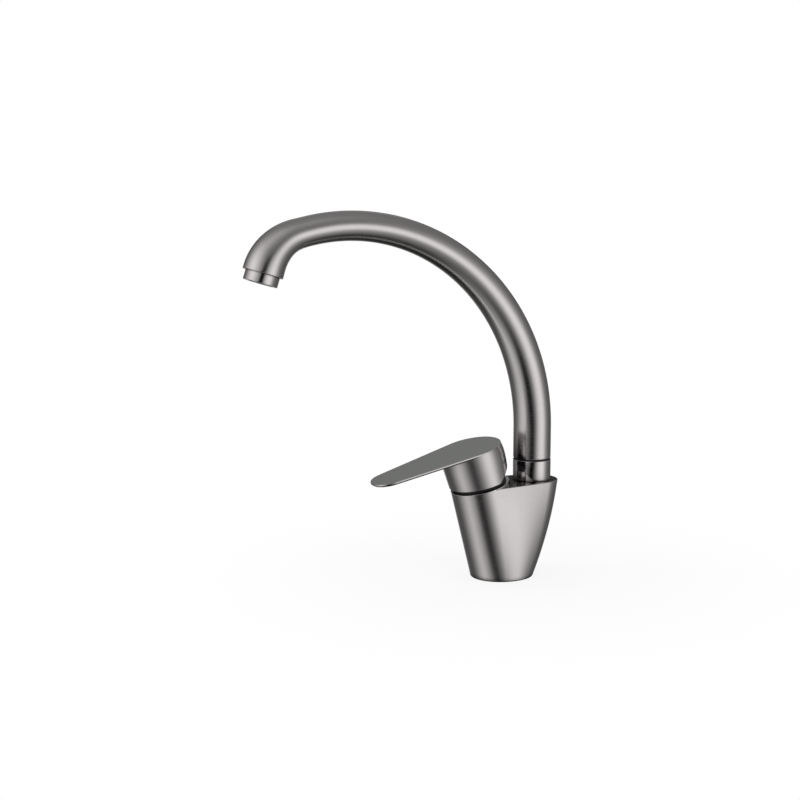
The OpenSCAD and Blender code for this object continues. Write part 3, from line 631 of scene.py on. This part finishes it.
# Spout
STRAIGHT_L = ARCH_Z - TUBE_Z
TUBE_L = STRAIGHT_L + ARCH_R * ARCH_TURN + BEND_R * (END_TURN - ARCH_TURN) + TIP_STRAIGHT
OUTLET_Y = (SPOUT_Y - ARCH_R + (ARCH_R - BEND_R) * math.cos(ARCH_TURN) + BEND_R * math.cos(END_TURN)
            - TIP_STRAIGHT * math.sin(END_TURN))
OUTLET_Z = (ARCH_Z + (ARCH_R - BEND_R) * math.sin(ARCH_TURN) + BEND_R * math.sin(END_TURN)
            + TIP_STRAIGHT * math.cos(END_TURN))
OUTLET = Matrix.Translation((0, OUTLET_Y, OUTLET_Z)) @ Matrix.Rotation(END_TURN, 4, "X")

TUBE_SIZES = {
    "Foot Y": SPOUT_Y, "Foot Z": TUBE_Z, "Riser": STRAIGHT_L,
    "Arch radius": ARCH_R, "Arch turn": ARCH_TURN, "Bend radius": BEND_R, "End turn": END_TURN,
    "Outlet straight": TIP_STRAIGHT, "Foot radius": TUBE_FOOT_R, "Neck radius": TUBE_NECK_R,
    "Outlet radius": TUBE_TIP_R, "Slim start": SLIM_START, "Slim end": SLIM_END, "Flare length": FLARE_L,
}
TUBE_RINGS = 201
TUBE_SIDES = 96
# Each point's place in the tube before it is bent, which the brushing follows
STRAIGHT_PLACE = "straight_place"


def tube_tree():
    """A ring swept up the riser, over the arch and round the bend: slimmer midway, flared at the outlet."""
    tree = bpy.data.node_groups.new("spout_tube", "GeometryNodeTree")
    tree.interface.new_socket("Tube", in_out="OUTPUT", socket_type="NodeSocketGeometry")
    for name in TUBE_SIZES:
        tree.interface.new_socket(name, in_out="INPUT", socket_type="NodeSocketFloat")
    tree.interface.new_socket("Finish", in_out="INPUT", socket_type="NodeSocketMaterial")
    size = add(tree, "NodeGroupInput").node.outputs
    arch_r, bend_r = size["Arch radius"], size["Bend radius"]

    # Lengths along the centre line
    bend_turn = add(tree, MATHS, {0: size["End turn"], 1: size["Arch turn"]}, operation="SUBTRACT")
    arch_l = add(tree, MATHS, {0: arch_r, 1: size["Arch turn"]}, operation="MULTIPLY")
    bend_l = add(tree, MATHS, {0: bend_r, 1: bend_turn}, operation="MULTIPLY")
    bend_start = add(tree, MATHS, {0: size["Riser"], 1: arch_l}, operation="ADD")
    outlet_start = add(tree, MATHS, {0: bend_start, 1: bend_l}, operation="ADD")
    length = add(tree, MATHS, {0: outlet_start, 1: size["Outlet straight"]}, operation="ADD")

    line = add(tree, "GeometryNodeCurvePrimitiveLine")
    stations = add(tree, "GeometryNodeResampleCurve", {"Curve": line, "Count": TUBE_RINGS})
    share = add(tree, "GeometryNodeSplineParameter", output="Factor")
    travel = add(tree, MATHS, {0: share, 1: length}, operation="MULTIPLY")
    path, along = add(tree, "GeometryNodeCaptureAttribute", {0: stations, 1: travel},
                      captures=[("FLOAT", "along")]).node.outputs[:2]

    # Outer radius: slimmer along the arch, wider towards the outlet
    flare_start = add(tree, MATHS, {0: length, 1: size["Flare length"]}, operation="SUBTRACT")
    slim = add(tree, "ShaderNodeMapRange",
               {"Value": along, "From Min": size["Slim start"], "From Max": size["Slim end"]},
               interpolation_type="SMOOTHSTEP")
    flare = add(tree, "ShaderNodeMapRange",
                {"Value": along, "From Min": flare_start, "From Max": length},
                interpolation_type="SMOOTHSTEP")
    to_neck = add(tree, MATHS, {0: size["Neck radius"], 1: size["Foot radius"]}, operation="SUBTRACT")
    to_outlet = add(tree, MATHS, {0: size["Outlet radius"], 1: size["Neck radius"]}, operation="SUBTRACT")
    slimmer = add(tree, MATHS, {0: slim, 1: to_neck}, operation="MULTIPLY")
    wider = add(tree, MATHS, {0: flare, 1: to_outlet}, operation="MULTIPLY")
    change = add(tree, MATHS, {0: slimmer, 1: wider}, operation="ADD")
    outer = add(tree, MATHS, {0: size["Foot radius"], 1: change}, operation="ADD")
    path, radius = add(tree, "GeometryNodeCaptureAttribute", {0: path, 1: outer},
                       captures=[("FLOAT", "radius")]).node.outputs[:2]

    # Angles turned through in the arch and in the bend, and lengths of the straights at both ends
    past_riser = add(tree, MATHS, {0: along, 1: size["Riser"]}, operation="SUBTRACT")
    in_arch = add(tree, "ShaderNodeClamp", {"Value": past_riser, "Min": 0.0, "Max": arch_l})
    arch = add(tree, MATHS, {0: in_arch, 1: arch_r}, operation="DIVIDE")
    past_arch = add(tree, MATHS, {0: along, 1: bend_start}, operation="SUBTRACT")
    in_bend = add(tree, "ShaderNodeClamp", {"Value": past_arch, "Min": 0.0, "Max": bend_l})
    bend = add(tree, MATHS, {0: in_bend, 1: bend_r}, operation="DIVIDE")
    heading = add(tree, MATHS, {0: arch, 1: bend}, operation="ADD")
    rise = add(tree, MATHS, {0: along, 1: size["Riser"]}, operation="MINIMUM")
    past_bend = add(tree, MATHS, {0: along, 1: outlet_start}, operation="SUBTRACT")
    over = add(tree, MATHS, {0: past_bend, 1: 0.0}, operation="MAXIMUM")

    # Centre line
    sweep = add(tree, MATHS, {0: arch_r, 1: bend_r}, operation="SUBTRACT")

    def turned_by(arch_part, bend_part):
        in_sweep = add(tree, MATHS, {0: sweep, 1: arch_part}, operation="MULTIPLY")
        in_outlet = add(tree, MATHS, {0: bend_r, 1: bend_part}, operation="MULTIPLY")
        return add(tree, MATHS, {0: in_sweep, 1: in_outlet}, operation="ADD")

    cosine = add(tree, MATHS, {0: heading}, operation="COSINE")
    sine = add(tree, MATHS, {0: heading}, operation="SINE")
    forward = turned_by(add(tree, MATHS, {0: arch}, operation="COSINE"), cosine)
    upward = turned_by(add(tree, MATHS, {0: arch}, operation="SINE"), sine)
    middle_y = add(tree, MATHS, {0: size["Foot Y"], 1: arch_r}, operation="SUBTRACT")
    turned_y = add(tree, MATHS, {0: middle_y, 1: forward}, operation="ADD")
    over_y = add(tree, MATHS, {0: over, 1: sine}, operation="MULTIPLY")
    y = add(tree, MATHS, {0: turned_y, 1: over_y}, operation="SUBTRACT")
    riser_z = add(tree, MATHS, {0: size["Foot Z"], 1: rise}, operation="ADD")
    turned_z = add(tree, MATHS, {0: riser_z, 1: upward}, operation="ADD")
    over_z = add(tree, MATHS, {0: over, 1: cosine}, operation="MULTIPLY")
    z = add(tree, MATHS, {0: turned_z, 1: over_z}, operation="ADD")
    centre = add(tree, "ShaderNodeCombineXYZ", {"Y": y, "Z": z})
    path = add(tree, "GeometryNodeSetPosition", {"Geometry": path, "Position": centre})

    # Wall, with its place in the straight tube
    circle = add(tree, "GeometryNodeCurvePrimitiveCircle", {"Resolution": TUBE_SIDES, "Radius": 1.0})
    on_circle = add(tree, "GeometryNodeInputPosition")
    ring, spoke = add(tree, "GeometryNodeCaptureAttribute", {0: circle, 1: on_circle},
                      captures=[("VECTOR", "spoke")]).node.outputs[:2]
    wall = add(tree, "GeometryNodeCurveToMesh", {"Curve": path, "Profile Curve": ring, "Scale": radius})
    across = add(tree, "ShaderNodeVectorMath", {0: spoke, "Scale": radius}, operation="SCALE")
    level = add(tree, "ShaderNodeCombineXYZ", {"Z": along})
    place = add(tree, "ShaderNodeVectorMath", {0: across, 1: level}, operation="ADD")
    stored = add(tree, "GeometryNodeStoreNamedAttribute", {"Geometry": wall, "Name": STRAIGHT_PLACE},
                 data_type="FLOAT_VECTOR", domain="POINT")
    values = [socket for socket in stored.node.inputs if socket.name == "Value" and socket.enabled]
    tree.links.new(place, values[0])
    dressed = add(tree, "GeometryNodeSetMaterial", {"Geometry": stored, "Material": size["Finish"]})
    add(tree, "NodeGroupOutput", {"Tube": dressed})
    return tree


def spout_tube(finish):
    """The tube with its wall and rounded rims."""
    obj = bpy.data.objects.new("spout_arch", bpy.data.meshes.new("spout_arch"))
    bpy.context.scene.collection.objects.link(obj)
    sweep = obj.modifiers.new("sweep", "NODES")
    sweep.node_group = tube_tree()
    for socket in sweep.node_group.interface.items_tree:
        if socket.in_out == "INPUT":
            sweep[socket.identifier] = finish if socket.name == "Finish" else TUBE_SIZES[socket.name]
    wall = obj.modifiers.new("wall", "SOLIDIFY")
    wall.thickness = TUBE_WALL
    wall.offset = -1
    rims = obj.modifiers.new("rims", "BEVEL")
    rims.width = TUBE_EDGE
    rims.segments = 4
    rims.limit_method = "ANGLE"
    rims.angle_limit = math.radians(60)
    settle(obj)
    smooth(obj)
    return obj


def rounded(profile, corners, radius, steps=4):
    """Rounds the named corners of a closed profile of (radius, height)."""
    made = []
    for i, point in enumerate(profile):
        here = Vector(point)
        if i not in corners:
            made.append(tuple(here))
            continue
        back = (Vector(profile[i - 1]) - here).normalized() * radius
        ahead = (Vector(profile[(i + 1) % len(profile)]) - here).normalized() * radius
        for k in range(steps + 1):
            u = k / steps
            made.append(tuple(here + back * (1 - u) ** 2 + ahead * u ** 2))
    return made


def collar():
    """Fixed polished collar with its thread in the shoulder."""
    foot = SHOULDER_Z
    sleeve_floor = COLLAR_TOP - SLEEVE_H - FACE_CLEARANCE
    profile = [(SOCKET_R, COLLAR_THREAD_Z), (COLLAR_THREAD_R, COLLAR_THREAD_Z), (COLLAR_THREAD_R, foot),
               (COLLAR_R, foot), (COLLAR_R, COLLAR_TOP), (SLEEVE_R, COLLAR_TOP),
               (SLEEVE_R, sleeve_floor), (SOCKET_R, sleeve_floor)]
    return turned("spout_foot_collar", rounded(profile, (3, 4, 5), COLLAR_EDGE), SPOUT_AXIS, 160)


def slip_ring():
    """Black plastic ring, seen as the dark groove between collar and tube."""
    low = COLLAR_TOP - SLEEVE_H
    profile = [(SOCKET_R, low), (SLEEVE_R - FIT, low), (SLEEVE_R - FIT, COLLAR_TOP),
               (SLIP_R, COLLAR_TOP), (SLIP_R, SLIP_TOP), (SOCKET_R, SLIP_TOP)]
    return turned("slip_ring", rounded(profile, (3, 4), SLIP_EDGE), SPOUT_AXIS)


def aerator_ring():
    """Screw-in aerator housing: thread and polished ring with a rolled lip."""
    lip_r = AERATOR_BORE_R - LIP_W
    lip_top = RING_END - LIP_H
    profile = [(AERATOR_BORE_R, -THREAD_H), (THREAD_R, -THREAD_H), (THREAD_R, 0), (RING_R, 0),
               (RING_R, RING_END), (lip_r, RING_END), (lip_r, lip_top), (AERATOR_BORE_R, lip_top)]
    return turned("aerator_ring", rounded(profile, (4, 5), RING_EDGE), OUTLET)


# Materials
def srgb(code):
    """Linear RGBA of an sRGB hex colour."""
    channels = [int(code[i:i + 2], 16) / 255 for i in (1, 3, 5)]
    linear = [c / 12.92 if c <= 0.04045 else ((c + 0.055) / 1.055) ** 2.4 for c in channels]
    return (*linear, 1.0)


def surface(name, colour, values):
    """A material with one Principled shader, ready for its pattern."""
    material = bpy.data.materials.new(name)
    material.use_nodes = True
    tree = material.node_tree
    shader = tree.nodes["Principled BSDF"]
    shader.inputs["Base Color"].default_value = srgb(colour)
    for key, value in values.items():
        shader.inputs[key].default_value = value
    return material, tree, shader


# The noise behind the scratches lies mostly between these values
NOISE_LOW = 0.3
NOISE_HIGH = 0.7
SCRATCH_DEPTH = 0.02 * MM


def brush(tree, shader, coordinates, scale, rough, bump):
    """Fine scratches: they change the roughness and tilt the surface a little."""
    stretched = add(tree, "ShaderNodeMapping", {"Vector": coordinates, "Scale": scale})
    scratches = add(tree, "ShaderNodeTexNoise",
                    {"Vector": stretched, "Scale": 1.0, "Detail": 3.0, "Roughness": 0.6})
    roughness = add(tree, "ShaderNodeMapRange",
                    {"Value": scratches, "From Min": NOISE_LOW, "From Max": NOISE_HIGH,
                     "To Min": rough[0], "To Max": rough[1]})
    tree.links.new(roughness, shader.inputs["Roughness"])
    relief = add(tree, "ShaderNodeBump", {"Height": scratches, "Strength": bump, "Distance": SCRATCH_DEPTH})
    tree.links.new(relief, shader.inputs["Normal"])


# Patterns along X, Y and Z, as their number in a metre. Scratches of brushed plate: 0.4 mm wide, 25 mm long
SCRATCH_W = 0.4 * MM
SCRATCH_L = 25 * MM
BRUSHED = (1 / SCRATCH_L, 1 / SCRATCH_L, 1 / SCRATCH_W)
BRUSHED_LENGTHWISE = (1 / SCRATCH_W, 1 / SCRATCH_L, 1 / SCRATCH_L)
# Buffing marks: 1.1 mm wide, 8 mm long. Tool marks: 0.3 mm apart, 3.3 mm long
BUFFED = (120, 120, 900)
TOOL_MARKS = (300, 300, 3300)
NICKEL = "#DAD6D5"
# Slightly darker and cooler nickel for the lever's level top: a painted tint of the studio it mirrors
NICKEL_TOP = "#D3D6D2"
# Roughness, from its lowest to its highest
SATIN = (0.19, 0.26)
GLOSS = (0.11, 0.17)
# Colour of the shade painted into the plate in recesses and between close parts
PAINTED_SHADE_TINT = "#33302E"
# Share of open sky at which the painted shade is darkest, and at which plate has its full colour
PAINTED_SHADE_CLOSED = 0.3
PAINTED_SHADE_OPEN = 0.85


def painted_recess_shade(tree, shader, colour, shade_reach):
    """Painted shade: the colour darkens towards a dark tint where surfaces face each other closely, as between hub
    and spout.
    """
    openness = add(tree, "ShaderNodeAmbientOcclusion", {"Distance": shade_reach}, output="AO", samples=16)
    share = add(tree, "ShaderNodeMapRange",
                {"Value": openness, "From Min": PAINTED_SHADE_CLOSED, "From Max": PAINTED_SHADE_OPEN},
                interpolation_type="SMOOTHSTEP")
    tints = {0: share, 6: srgb(PAINTED_SHADE_TINT), 7: srgb(colour)}
    tint = add(tree, "ShaderNodeMix", tints, output=2, data_type="RGBA")
    tree.links.new(tint, shader.inputs["Base Color"])


def nickel_plate(name, scratches, rough, bump, shade_reach, colour=NICKEL, follows=None):
    """Nickel plate over brass. Its scratches follow the object's axes, or a place stored on the piece."""
    material, tree, shader = surface(name, colour, {"Metallic": 1.0})
    if follows:
        place = add(tree, "ShaderNodeAttribute", output="Vector", attribute_name=follows)
    else:
        place = add(tree, "ShaderNodeTexCoord", output="Object")
    brush(tree, shader, place, scratches, rough, bump)
    # Shade is painted into the colour where other surfaces lie close
    painted_recess_shade(tree, shader, colour, shade_reach)
    return material


def brushed_nickel_body():
    """Brushed level round the casting: satin, with soft bands of reflection.

    A real scratch is about 0.05 mm wide. It is drawn 0.4 mm wide so that it shows.
    """
    return nickel_plate("brushed_nickel_body", BRUSHED, SATIN, bump=0.12, shade_reach=7 * MM)


def brushed_nickel_hub():
    """The same satin on the hub, with painted shade that reaches further and darkens its rear where it faces the
    spout.
    """
    return nickel_plate("brushed_nickel_hub", BRUSHED, SATIN, bump=0.12, shade_reach=24 * MM)


def brushed_nickel_lengthwise():
    """The lever's flat top, brushed along the lever, with a painted tint of the studio it mirrors: a little cooler
    than the round faces.
    """
    return nickel_plate("brushed_nickel_lengthwise", BRUSHED_LENGTHWISE, SATIN, bump=0.12, shade_reach=24 * MM,
                        colour=NICKEL_TOP)


def brushed_nickel_tube():
    """Ground round the tube: the scratches follow it through its bend."""
    return nickel_plate("brushed_nickel_tube", BRUSHED, SATIN, bump=0.12, shade_reach=24 * MM,
                        follows=STRAIGHT_PLACE)


def polished_nickel():
    """Buffed plate: sharp reflections with a faint haze of buffing marks."""
    return nickel_plate("polished_nickel", BUFFED, GLOSS, bump=0.05, shade_reach=12 * MM)


def machined(name, colour, rough):
    """Turned or milled bare metal: tool marks break its reflections into soft rings."""
    material, tree, shader = surface(name, colour, {"Metallic": 1.0})
    place = add(tree, "ShaderNodeTexCoord", output="Object")
    brush(tree, shader, place, TOOL_MARKS, rough, bump=0.2)
    return material


def moulded(name, colour, rough, grain, bump, ior):
    """Injection moulded or pressed material: an even grain, of a size in millimetres, softens its sheen."""
    material, tree, shader = surface(name, colour, {"IOR": ior})
    place = add(tree, "ShaderNodeTexCoord", output="Object")
    scale = 1 / (grain * MM)
    brush(tree, shader, place, (scale, scale, scale), rough, bump)
    return material


def clothe_frame():
    """Gives every CAD node the material of its slot. Returns the materials by slot."""
    finishes = {
        "brushed_metal": brushed_nickel_body(),
        "polished_metal": polished_nickel(),
        # Warm yellow, since it isn't plated
        "bare_brass": machined("machined_brass", "#D9B978", (0.22, 0.34)),
        # Cool grey, a little duller than the plate
        "bare_steel": machined("stainless_steel", "#C3C4C6", (0.25, 0.38)),
        # Matt and nearly black
        "seal_rubber": moulded("epdm_rubber", "#1C1C1D", (0.62, 0.78), grain=0.25, bump=0.3, ior=1.52),
        # Milky and half matt: white in the parts that stay, red in the carrier that slides
        "cartridge_plastic": moulded("acetal_white", "#E4E2DA", (0.34, 0.46), grain=0.3, bump=0.15, ior=1.48),
        "carrier_plastic": moulded("acetal_red", "#B0362B", (0.34, 0.46), grain=0.3, bump=0.15, ior=1.48),
        # Black with a soft sheen, which reads as a dark gap between the metal parts
        "dark_plastic": moulded("abs_black", "#17171A", (0.38, 0.52), grain=0.2, bump=0.25, ior=1.53),
        # Ivory white and nearly mirror smooth, since its faces are ground flat to seal
        "ceramic": moulded("alumina_lapped", "#F1EFE8", (0.10, 0.18), grain=0.15, bump=0.05, ior=1.76),
    }
    slots = {part["node"]: part["material_slot"] for part in frame["record"]["subparts"]}
    for name, obj in frame["nodes"].items():
        obj.data.materials.clear()
        obj.data.materials.append(finishes[slots[name]])
    return finishes


def seat(obj, body, slot, node, *materials):
    """Puts a finished piece in place of its CAD node, on the node's body."""
    for material in materials:
        obj.data.materials.append(material)
    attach(obj, body)
    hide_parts(node)


# Cosine of how far a face's normal may lean and the face still counts as level
SHOULDER_LEVEL = 0.99
PLATE_LEVEL = 0.95


def dress():
    """Puts the finished pieces in place. The shoulder and the handle's flats have finishes of their own."""
    finishes = clothe_frame()
    polished = finishes["polished_metal"]
    tube_finish = brushed_nickel_tube()
    hub_finish = brushed_nickel_hub()
    top_finish = brushed_nickel_lengthwise()

    casting = body_casting()
    seat(casting, "base", "brushed_metal", "mixer_body", finishes["brushed_metal"], polished)
    for face in casting.data.polygons:
        on_shoulder = face.normal.z > SHOULDER_LEVEL and abs(face.center.z - SHOULDER_Z) < FACE_CLEARANCE
        face.material_index = 1 if on_shoulder else 0

    handle = lever_handle()
    handle.data.materials.clear()
    seat(handle, "lever", "brushed_metal", "handle", hub_finish, top_finish)
    # Level faces take the top finish, whose cooler colour is a painted tint
    axis = Vector((0, -SIN_T, COS_T))
    for face in handle.data.polygons:
        face.material_index = 1 if abs(face.normal.dot(axis)) > PLATE_LEVEL else 0

    seat(handle_cap(), "lever", "brushed_metal", "index_cap", hub_finish)
    seat(collar(), "base", "polished_metal", "spout_collar", polished)
    seat(slip_ring(), "spout", "dark_plastic", "spout_slip_ring", finishes["dark_plastic"])
    seat(spout_tube(tube_finish), "spout", "brushed_metal", "spout_tube")
    seat(aerator_ring(), "spout", "polished_metal", "aerator_housing", polished)


# Studio
VIEW = Vector((math.sin(CAMERA_AZIMUTH) * math.cos(CAMERA_ELEVATION),
               -math.cos(CAMERA_AZIMUTH) * math.cos(CAMERA_ELEVATION), math.sin(CAMERA_ELEVATION)))


def camera():
    """The photograph's view: a long lens, a little above the lever."""
    data = bpy.data.cameras.new("camera")
    data.lens = CAMERA_LENS
    data.sensor_width = CAMERA_SENSOR
    data.clip_end = 50
    obj = bpy.data.objects.new("camera", data)
    bpy.context.scene.collection.objects.link(obj)
    obj.location = CAMERA_TARGET + CAMERA_DISTANCE * VIEW
    obj.rotation_euler = (-VIEW).to_track_quat("-Z", "Y").to_euler()
    bpy.context.scene.camera = obj


def window(tree, value, middle, half, soft):
    """1 where value is within half of middle, fading to 0 over soft. All in degrees."""
    offset = add(tree, MATHS, {0: value, 1: middle}, operation="SUBTRACT")
    away = add(tree, MATHS, {0: offset}, operation="ABSOLUTE")
    return add(tree, "ShaderNodeMapRange",
               {"Value": away, "From Min": half - soft / 2, "From Max": half + soft / 2,
                "To Min": 1.0, "To Max": 0.0}, interpolation_type="SMOOTHSTEP")


# The studio as the metal mirrors it. Each card: heading from the camera to the right, half width,
# softness of the sides, height, half height, softness of top and bottom, all in degrees, and strength
SOFTBOXES = [
    (-62, 35, 80, 21, 25, 50, 0.84),
    (-60, 26, 70, -30, 22, 26, 0.60),
    (-45, 50, 100, -62, 14, 34, 0.20),
    (52, 24, 40, -5, 16, 28, 0.75),
    (44, 24, 34, -32, 22, 44, 0.16),
    (78, 22, 46, -6, 35, 32, 0.20),
    (-20, 70, 140, 66, 18, 44, 0.26),
]
# Dark flag beside the camera, which leans to the right above the level, and a small one on its left
FLAG = (-9, 14, 14, -5, 28, 10, 0.98)
FLAG_LEAN = 0.85
FLAG_LEAN_START = -12.0
SIDE_FLAG = (-29, 10, 12, -13, 10, 10, 0.65)
# Behind the tap, headings either way round: a grey wall and a low card, then a dark band at the tap's
# own height and a dark floor
BACK_WALL = (180, 20, 16, 27, 12, 12, 0.10)
BACK_CARD = (180, 18, 12, -18, 9, 10, 0.50)
BACK_BAND = (180, 24, 20, 7, 12, 8, 0.75)
FLOOR_BEHIND = (180, 90, 40, -70, 22, 20, 0.60)
# The surround between the cards, from straight down nearly to straight up
STUDIO_FLOOR = 0.02
STUDIO_CEILING = 0.24
STUDIO_REACH = 80.0
# Light on what isn't metal
PLAIN_LIGHT = 0.7
WHITE = (1, 1, 1, 1)


def card(tree, heading, rise, row):
    """Strength of one soft-edged card of the studio, seen in a direction."""
    middle, half, soft, level, half_up, soft_up, strength = row
    wide = window(tree, heading, middle, half, soft)
    high = window(tree, rise, level, half_up, soft_up)
    box = add(tree, MATHS, {0: wide, 1: high}, operation="MULTIPLY")
    return add(tree, MATHS, {0: box, 1: strength}, operation="MULTIPLY")


def directions(tree):
    """Heading of a direction from the camera to the right, and its height, in degrees."""
    direction = add(tree, "ShaderNodeTexCoord", output="Generated")
    ahead = (math.sin(CAMERA_AZIMUTH), -math.cos(CAMERA_AZIMUTH), 0)
    right = (math.cos(CAMERA_AZIMUTH), math.sin(CAMERA_AZIMUTH), 0)
    towards = add(tree, "ShaderNodeVectorMath", {0: direction, 1: ahead}, output="Value",
                  operation="DOT_PRODUCT")
    across = add(tree, "ShaderNodeVectorMath", {0: direction, 1: right}, output="Value",
                 operation="DOT_PRODUCT")
    height = add(tree, "ShaderNodeSeparateXYZ", {0: direction}, output="Z")
    heading = add(tree, MATHS, {0: across, 1: towards}, operation="ARCTAN2")
    rise = add(tree, MATHS, {0: height}, operation="ARCSINE")
    return [add(tree, MATHS, {0: angle}, operation="DEGREES") for angle in (heading, rise)]


def studio_glow(tree):
    """How bright the studio is in a direction: surround and cards added up, then dimmed by the flags."""
    heading, rise = directions(tree)
    either = add(tree, MATHS, {0: heading}, operation="ABSOLUTE")
    glow = add(tree, "ShaderNodeMapRange",
               {"Value": rise, "From Min": -STUDIO_REACH, "From Max": STUDIO_REACH,
                "To Min": STUDIO_FLOOR, "To Max": STUDIO_CEILING})
    lights = [card(tree, heading, rise, box) for box in SOFTBOXES]
    lights += [card(tree, either, rise, box) for box in (BACK_WALL, BACK_CARD)]
    for light in lights:
        glow = add(tree, MATHS, {0: glow, 1: light}, operation="ADD")
    glow = add(tree, MATHS, {0: glow, 1: 1.0}, operation="MINIMUM")

    climb = add(tree, MATHS, {0: rise, 1: FLAG_LEAN_START}, operation="SUBTRACT")
    above = add(tree, MATHS, {0: climb, 1: 0.0}, operation="MAXIMUM")
    lean = add(tree, MATHS, {0: above, 1: FLAG_LEAN}, operation="MULTIPLY")
    upright = add(tree, MATHS, {0: heading, 1: lean}, operation="SUBTRACT")
    shades = [card(tree, upright, rise, FLAG), card(tree, heading, rise, SIDE_FLAG),
              card(tree, either, rise, BACK_BAND), card(tree, either, rise, FLOOR_BEHIND)]
    for shade in shades:
        passed = add(tree, MATHS, {0: 1.0, 1: shade}, operation="SUBTRACT")
        glow = add(tree, MATHS, {0: glow, 1: passed}, operation="MULTIPLY")
    return glow


def studio_world():
    """White backdrop for the camera and for glass, the studio for metal, plain light for the rest."""
    world = bpy.data.worlds.new("studio")
    bpy.context.scene.world = world
    world.use_nodes = True
    tree = world.node_tree
    tree.nodes.clear()
    studio = add(tree, "ShaderNodeBackground", {"Color": WHITE, "Strength": studio_glow(tree)})
    plain = add(tree, "ShaderNodeBackground", {"Color": WHITE, "Strength": PLAIN_LIGHT})
    white = add(tree, "ShaderNodeBackground", {"Color": WHITE, "Strength": 1.0})
    ray = add(tree, "ShaderNodeLightPath").node.outputs
    clear = add(tree, MATHS, {0: ray["Is Camera Ray"], 1: ray["Is Transmission Ray"]}, operation="MAXIMUM")
    lit = add(tree, "ShaderNodeMixShader", {0: ray["Is Diffuse Ray"], 1: studio, 2: plain})
    final = add(tree, "ShaderNodeMixShader", {0: clear, 1: lit, 2: white})
    add(tree, "ShaderNodeOutputWorld", {"Surface": final})


# Floor: half its side, and how far it lies below the base
FLOOR_REACH = 3
FLOOR_DROP = 0.1 * MM
# Share of plain white that the camera sees on the floor: least near the tap, so that its shadow shows
SHADOW_WHITE = 0.85
SHADOW_NEAR = 0.05
SHADOW_FAR = 0.3


def floor():
    """Pale floor that keeps a faint shadow. The metal mirrors the studio in its place."""
    skin = Skin()
    corners = ((-FLOOR_REACH, -FLOOR_REACH), (FLOOR_REACH, -FLOOR_REACH),
               (FLOOR_REACH, FLOOR_REACH), (-FLOOR_REACH, FLOOR_REACH))
    skin.lid([Vector((x, y, -FLOOR_DROP)) for x, y in corners])
    obj = skin.piece("floor")
    material = bpy.data.materials.new("floor_white")
    material.use_nodes = True
    tree = material.node_tree
    tree.nodes.clear()
    paint = add(tree, "ShaderNodeBsdfDiffuse", {"Color": srgb("#F4F4F4")})
    white = add(tree, "ShaderNodeEmission", {"Color": WHITE, "Strength": 1.0})
    place = add(tree, "ShaderNodeTexCoord", output="Object")
    away = add(tree, "ShaderNodeVectorMath", {0: place}, output="Value", operation="LENGTH")
    fade = add(tree, "ShaderNodeMapRange",
               {"Value": away, "From Min": SHADOW_NEAR, "From Max": SHADOW_FAR,
                "To Min": SHADOW_WHITE, "To Max": 1.0}, interpolation_type="SMOOTHSTEP")
    seen = add(tree, "ShaderNodeLightPath", output="Is Camera Ray")
    share = add(tree, MATHS, {0: seen, 1: fade}, operation="MULTIPLY")
    mix = add(tree, "ShaderNodeMixShader", {0: share, 1: paint, 2: white})
    add(tree, "ShaderNodeOutputMaterial", {"Surface": mix})
    obj.data.materials.append(material)
    obj.visible_glossy = False


# Large soft lamps, which the metal doesn't see: place, width and power
LAMPS = {
    "key": ((-0.6, -1.6, 1.6), 1.4, 14),
    "fill": ((1.6, 0.5, 1.3), 1.4, 8),
}
LAMP_TARGET = Vector((0, -0.08, 0.12))


def lamp(name, place, width, power):
    """A large soft lamp that looks at the tap."""
    data = bpy.data.lights.new(name, "AREA")
    data.shape = "SQUARE"
    data.size = width
    data.energy = power
    obj = bpy.data.objects.new(name, data)
    bpy.context.scene.collection.objects.link(obj)
    obj.location = place
    obj.rotation_euler = (Vector(place) - LAMP_TARGET).to_track_quat("Z", "Y").to_euler()
    obj.visible_glossy = False


dress()
camera()
studio_world()
floor()
for lamp_name, lamp_row in LAMPS.items():
    lamp(lamp_name, *lamp_row)

bpy.context.scene.view_settings.view_transform = "Standard"
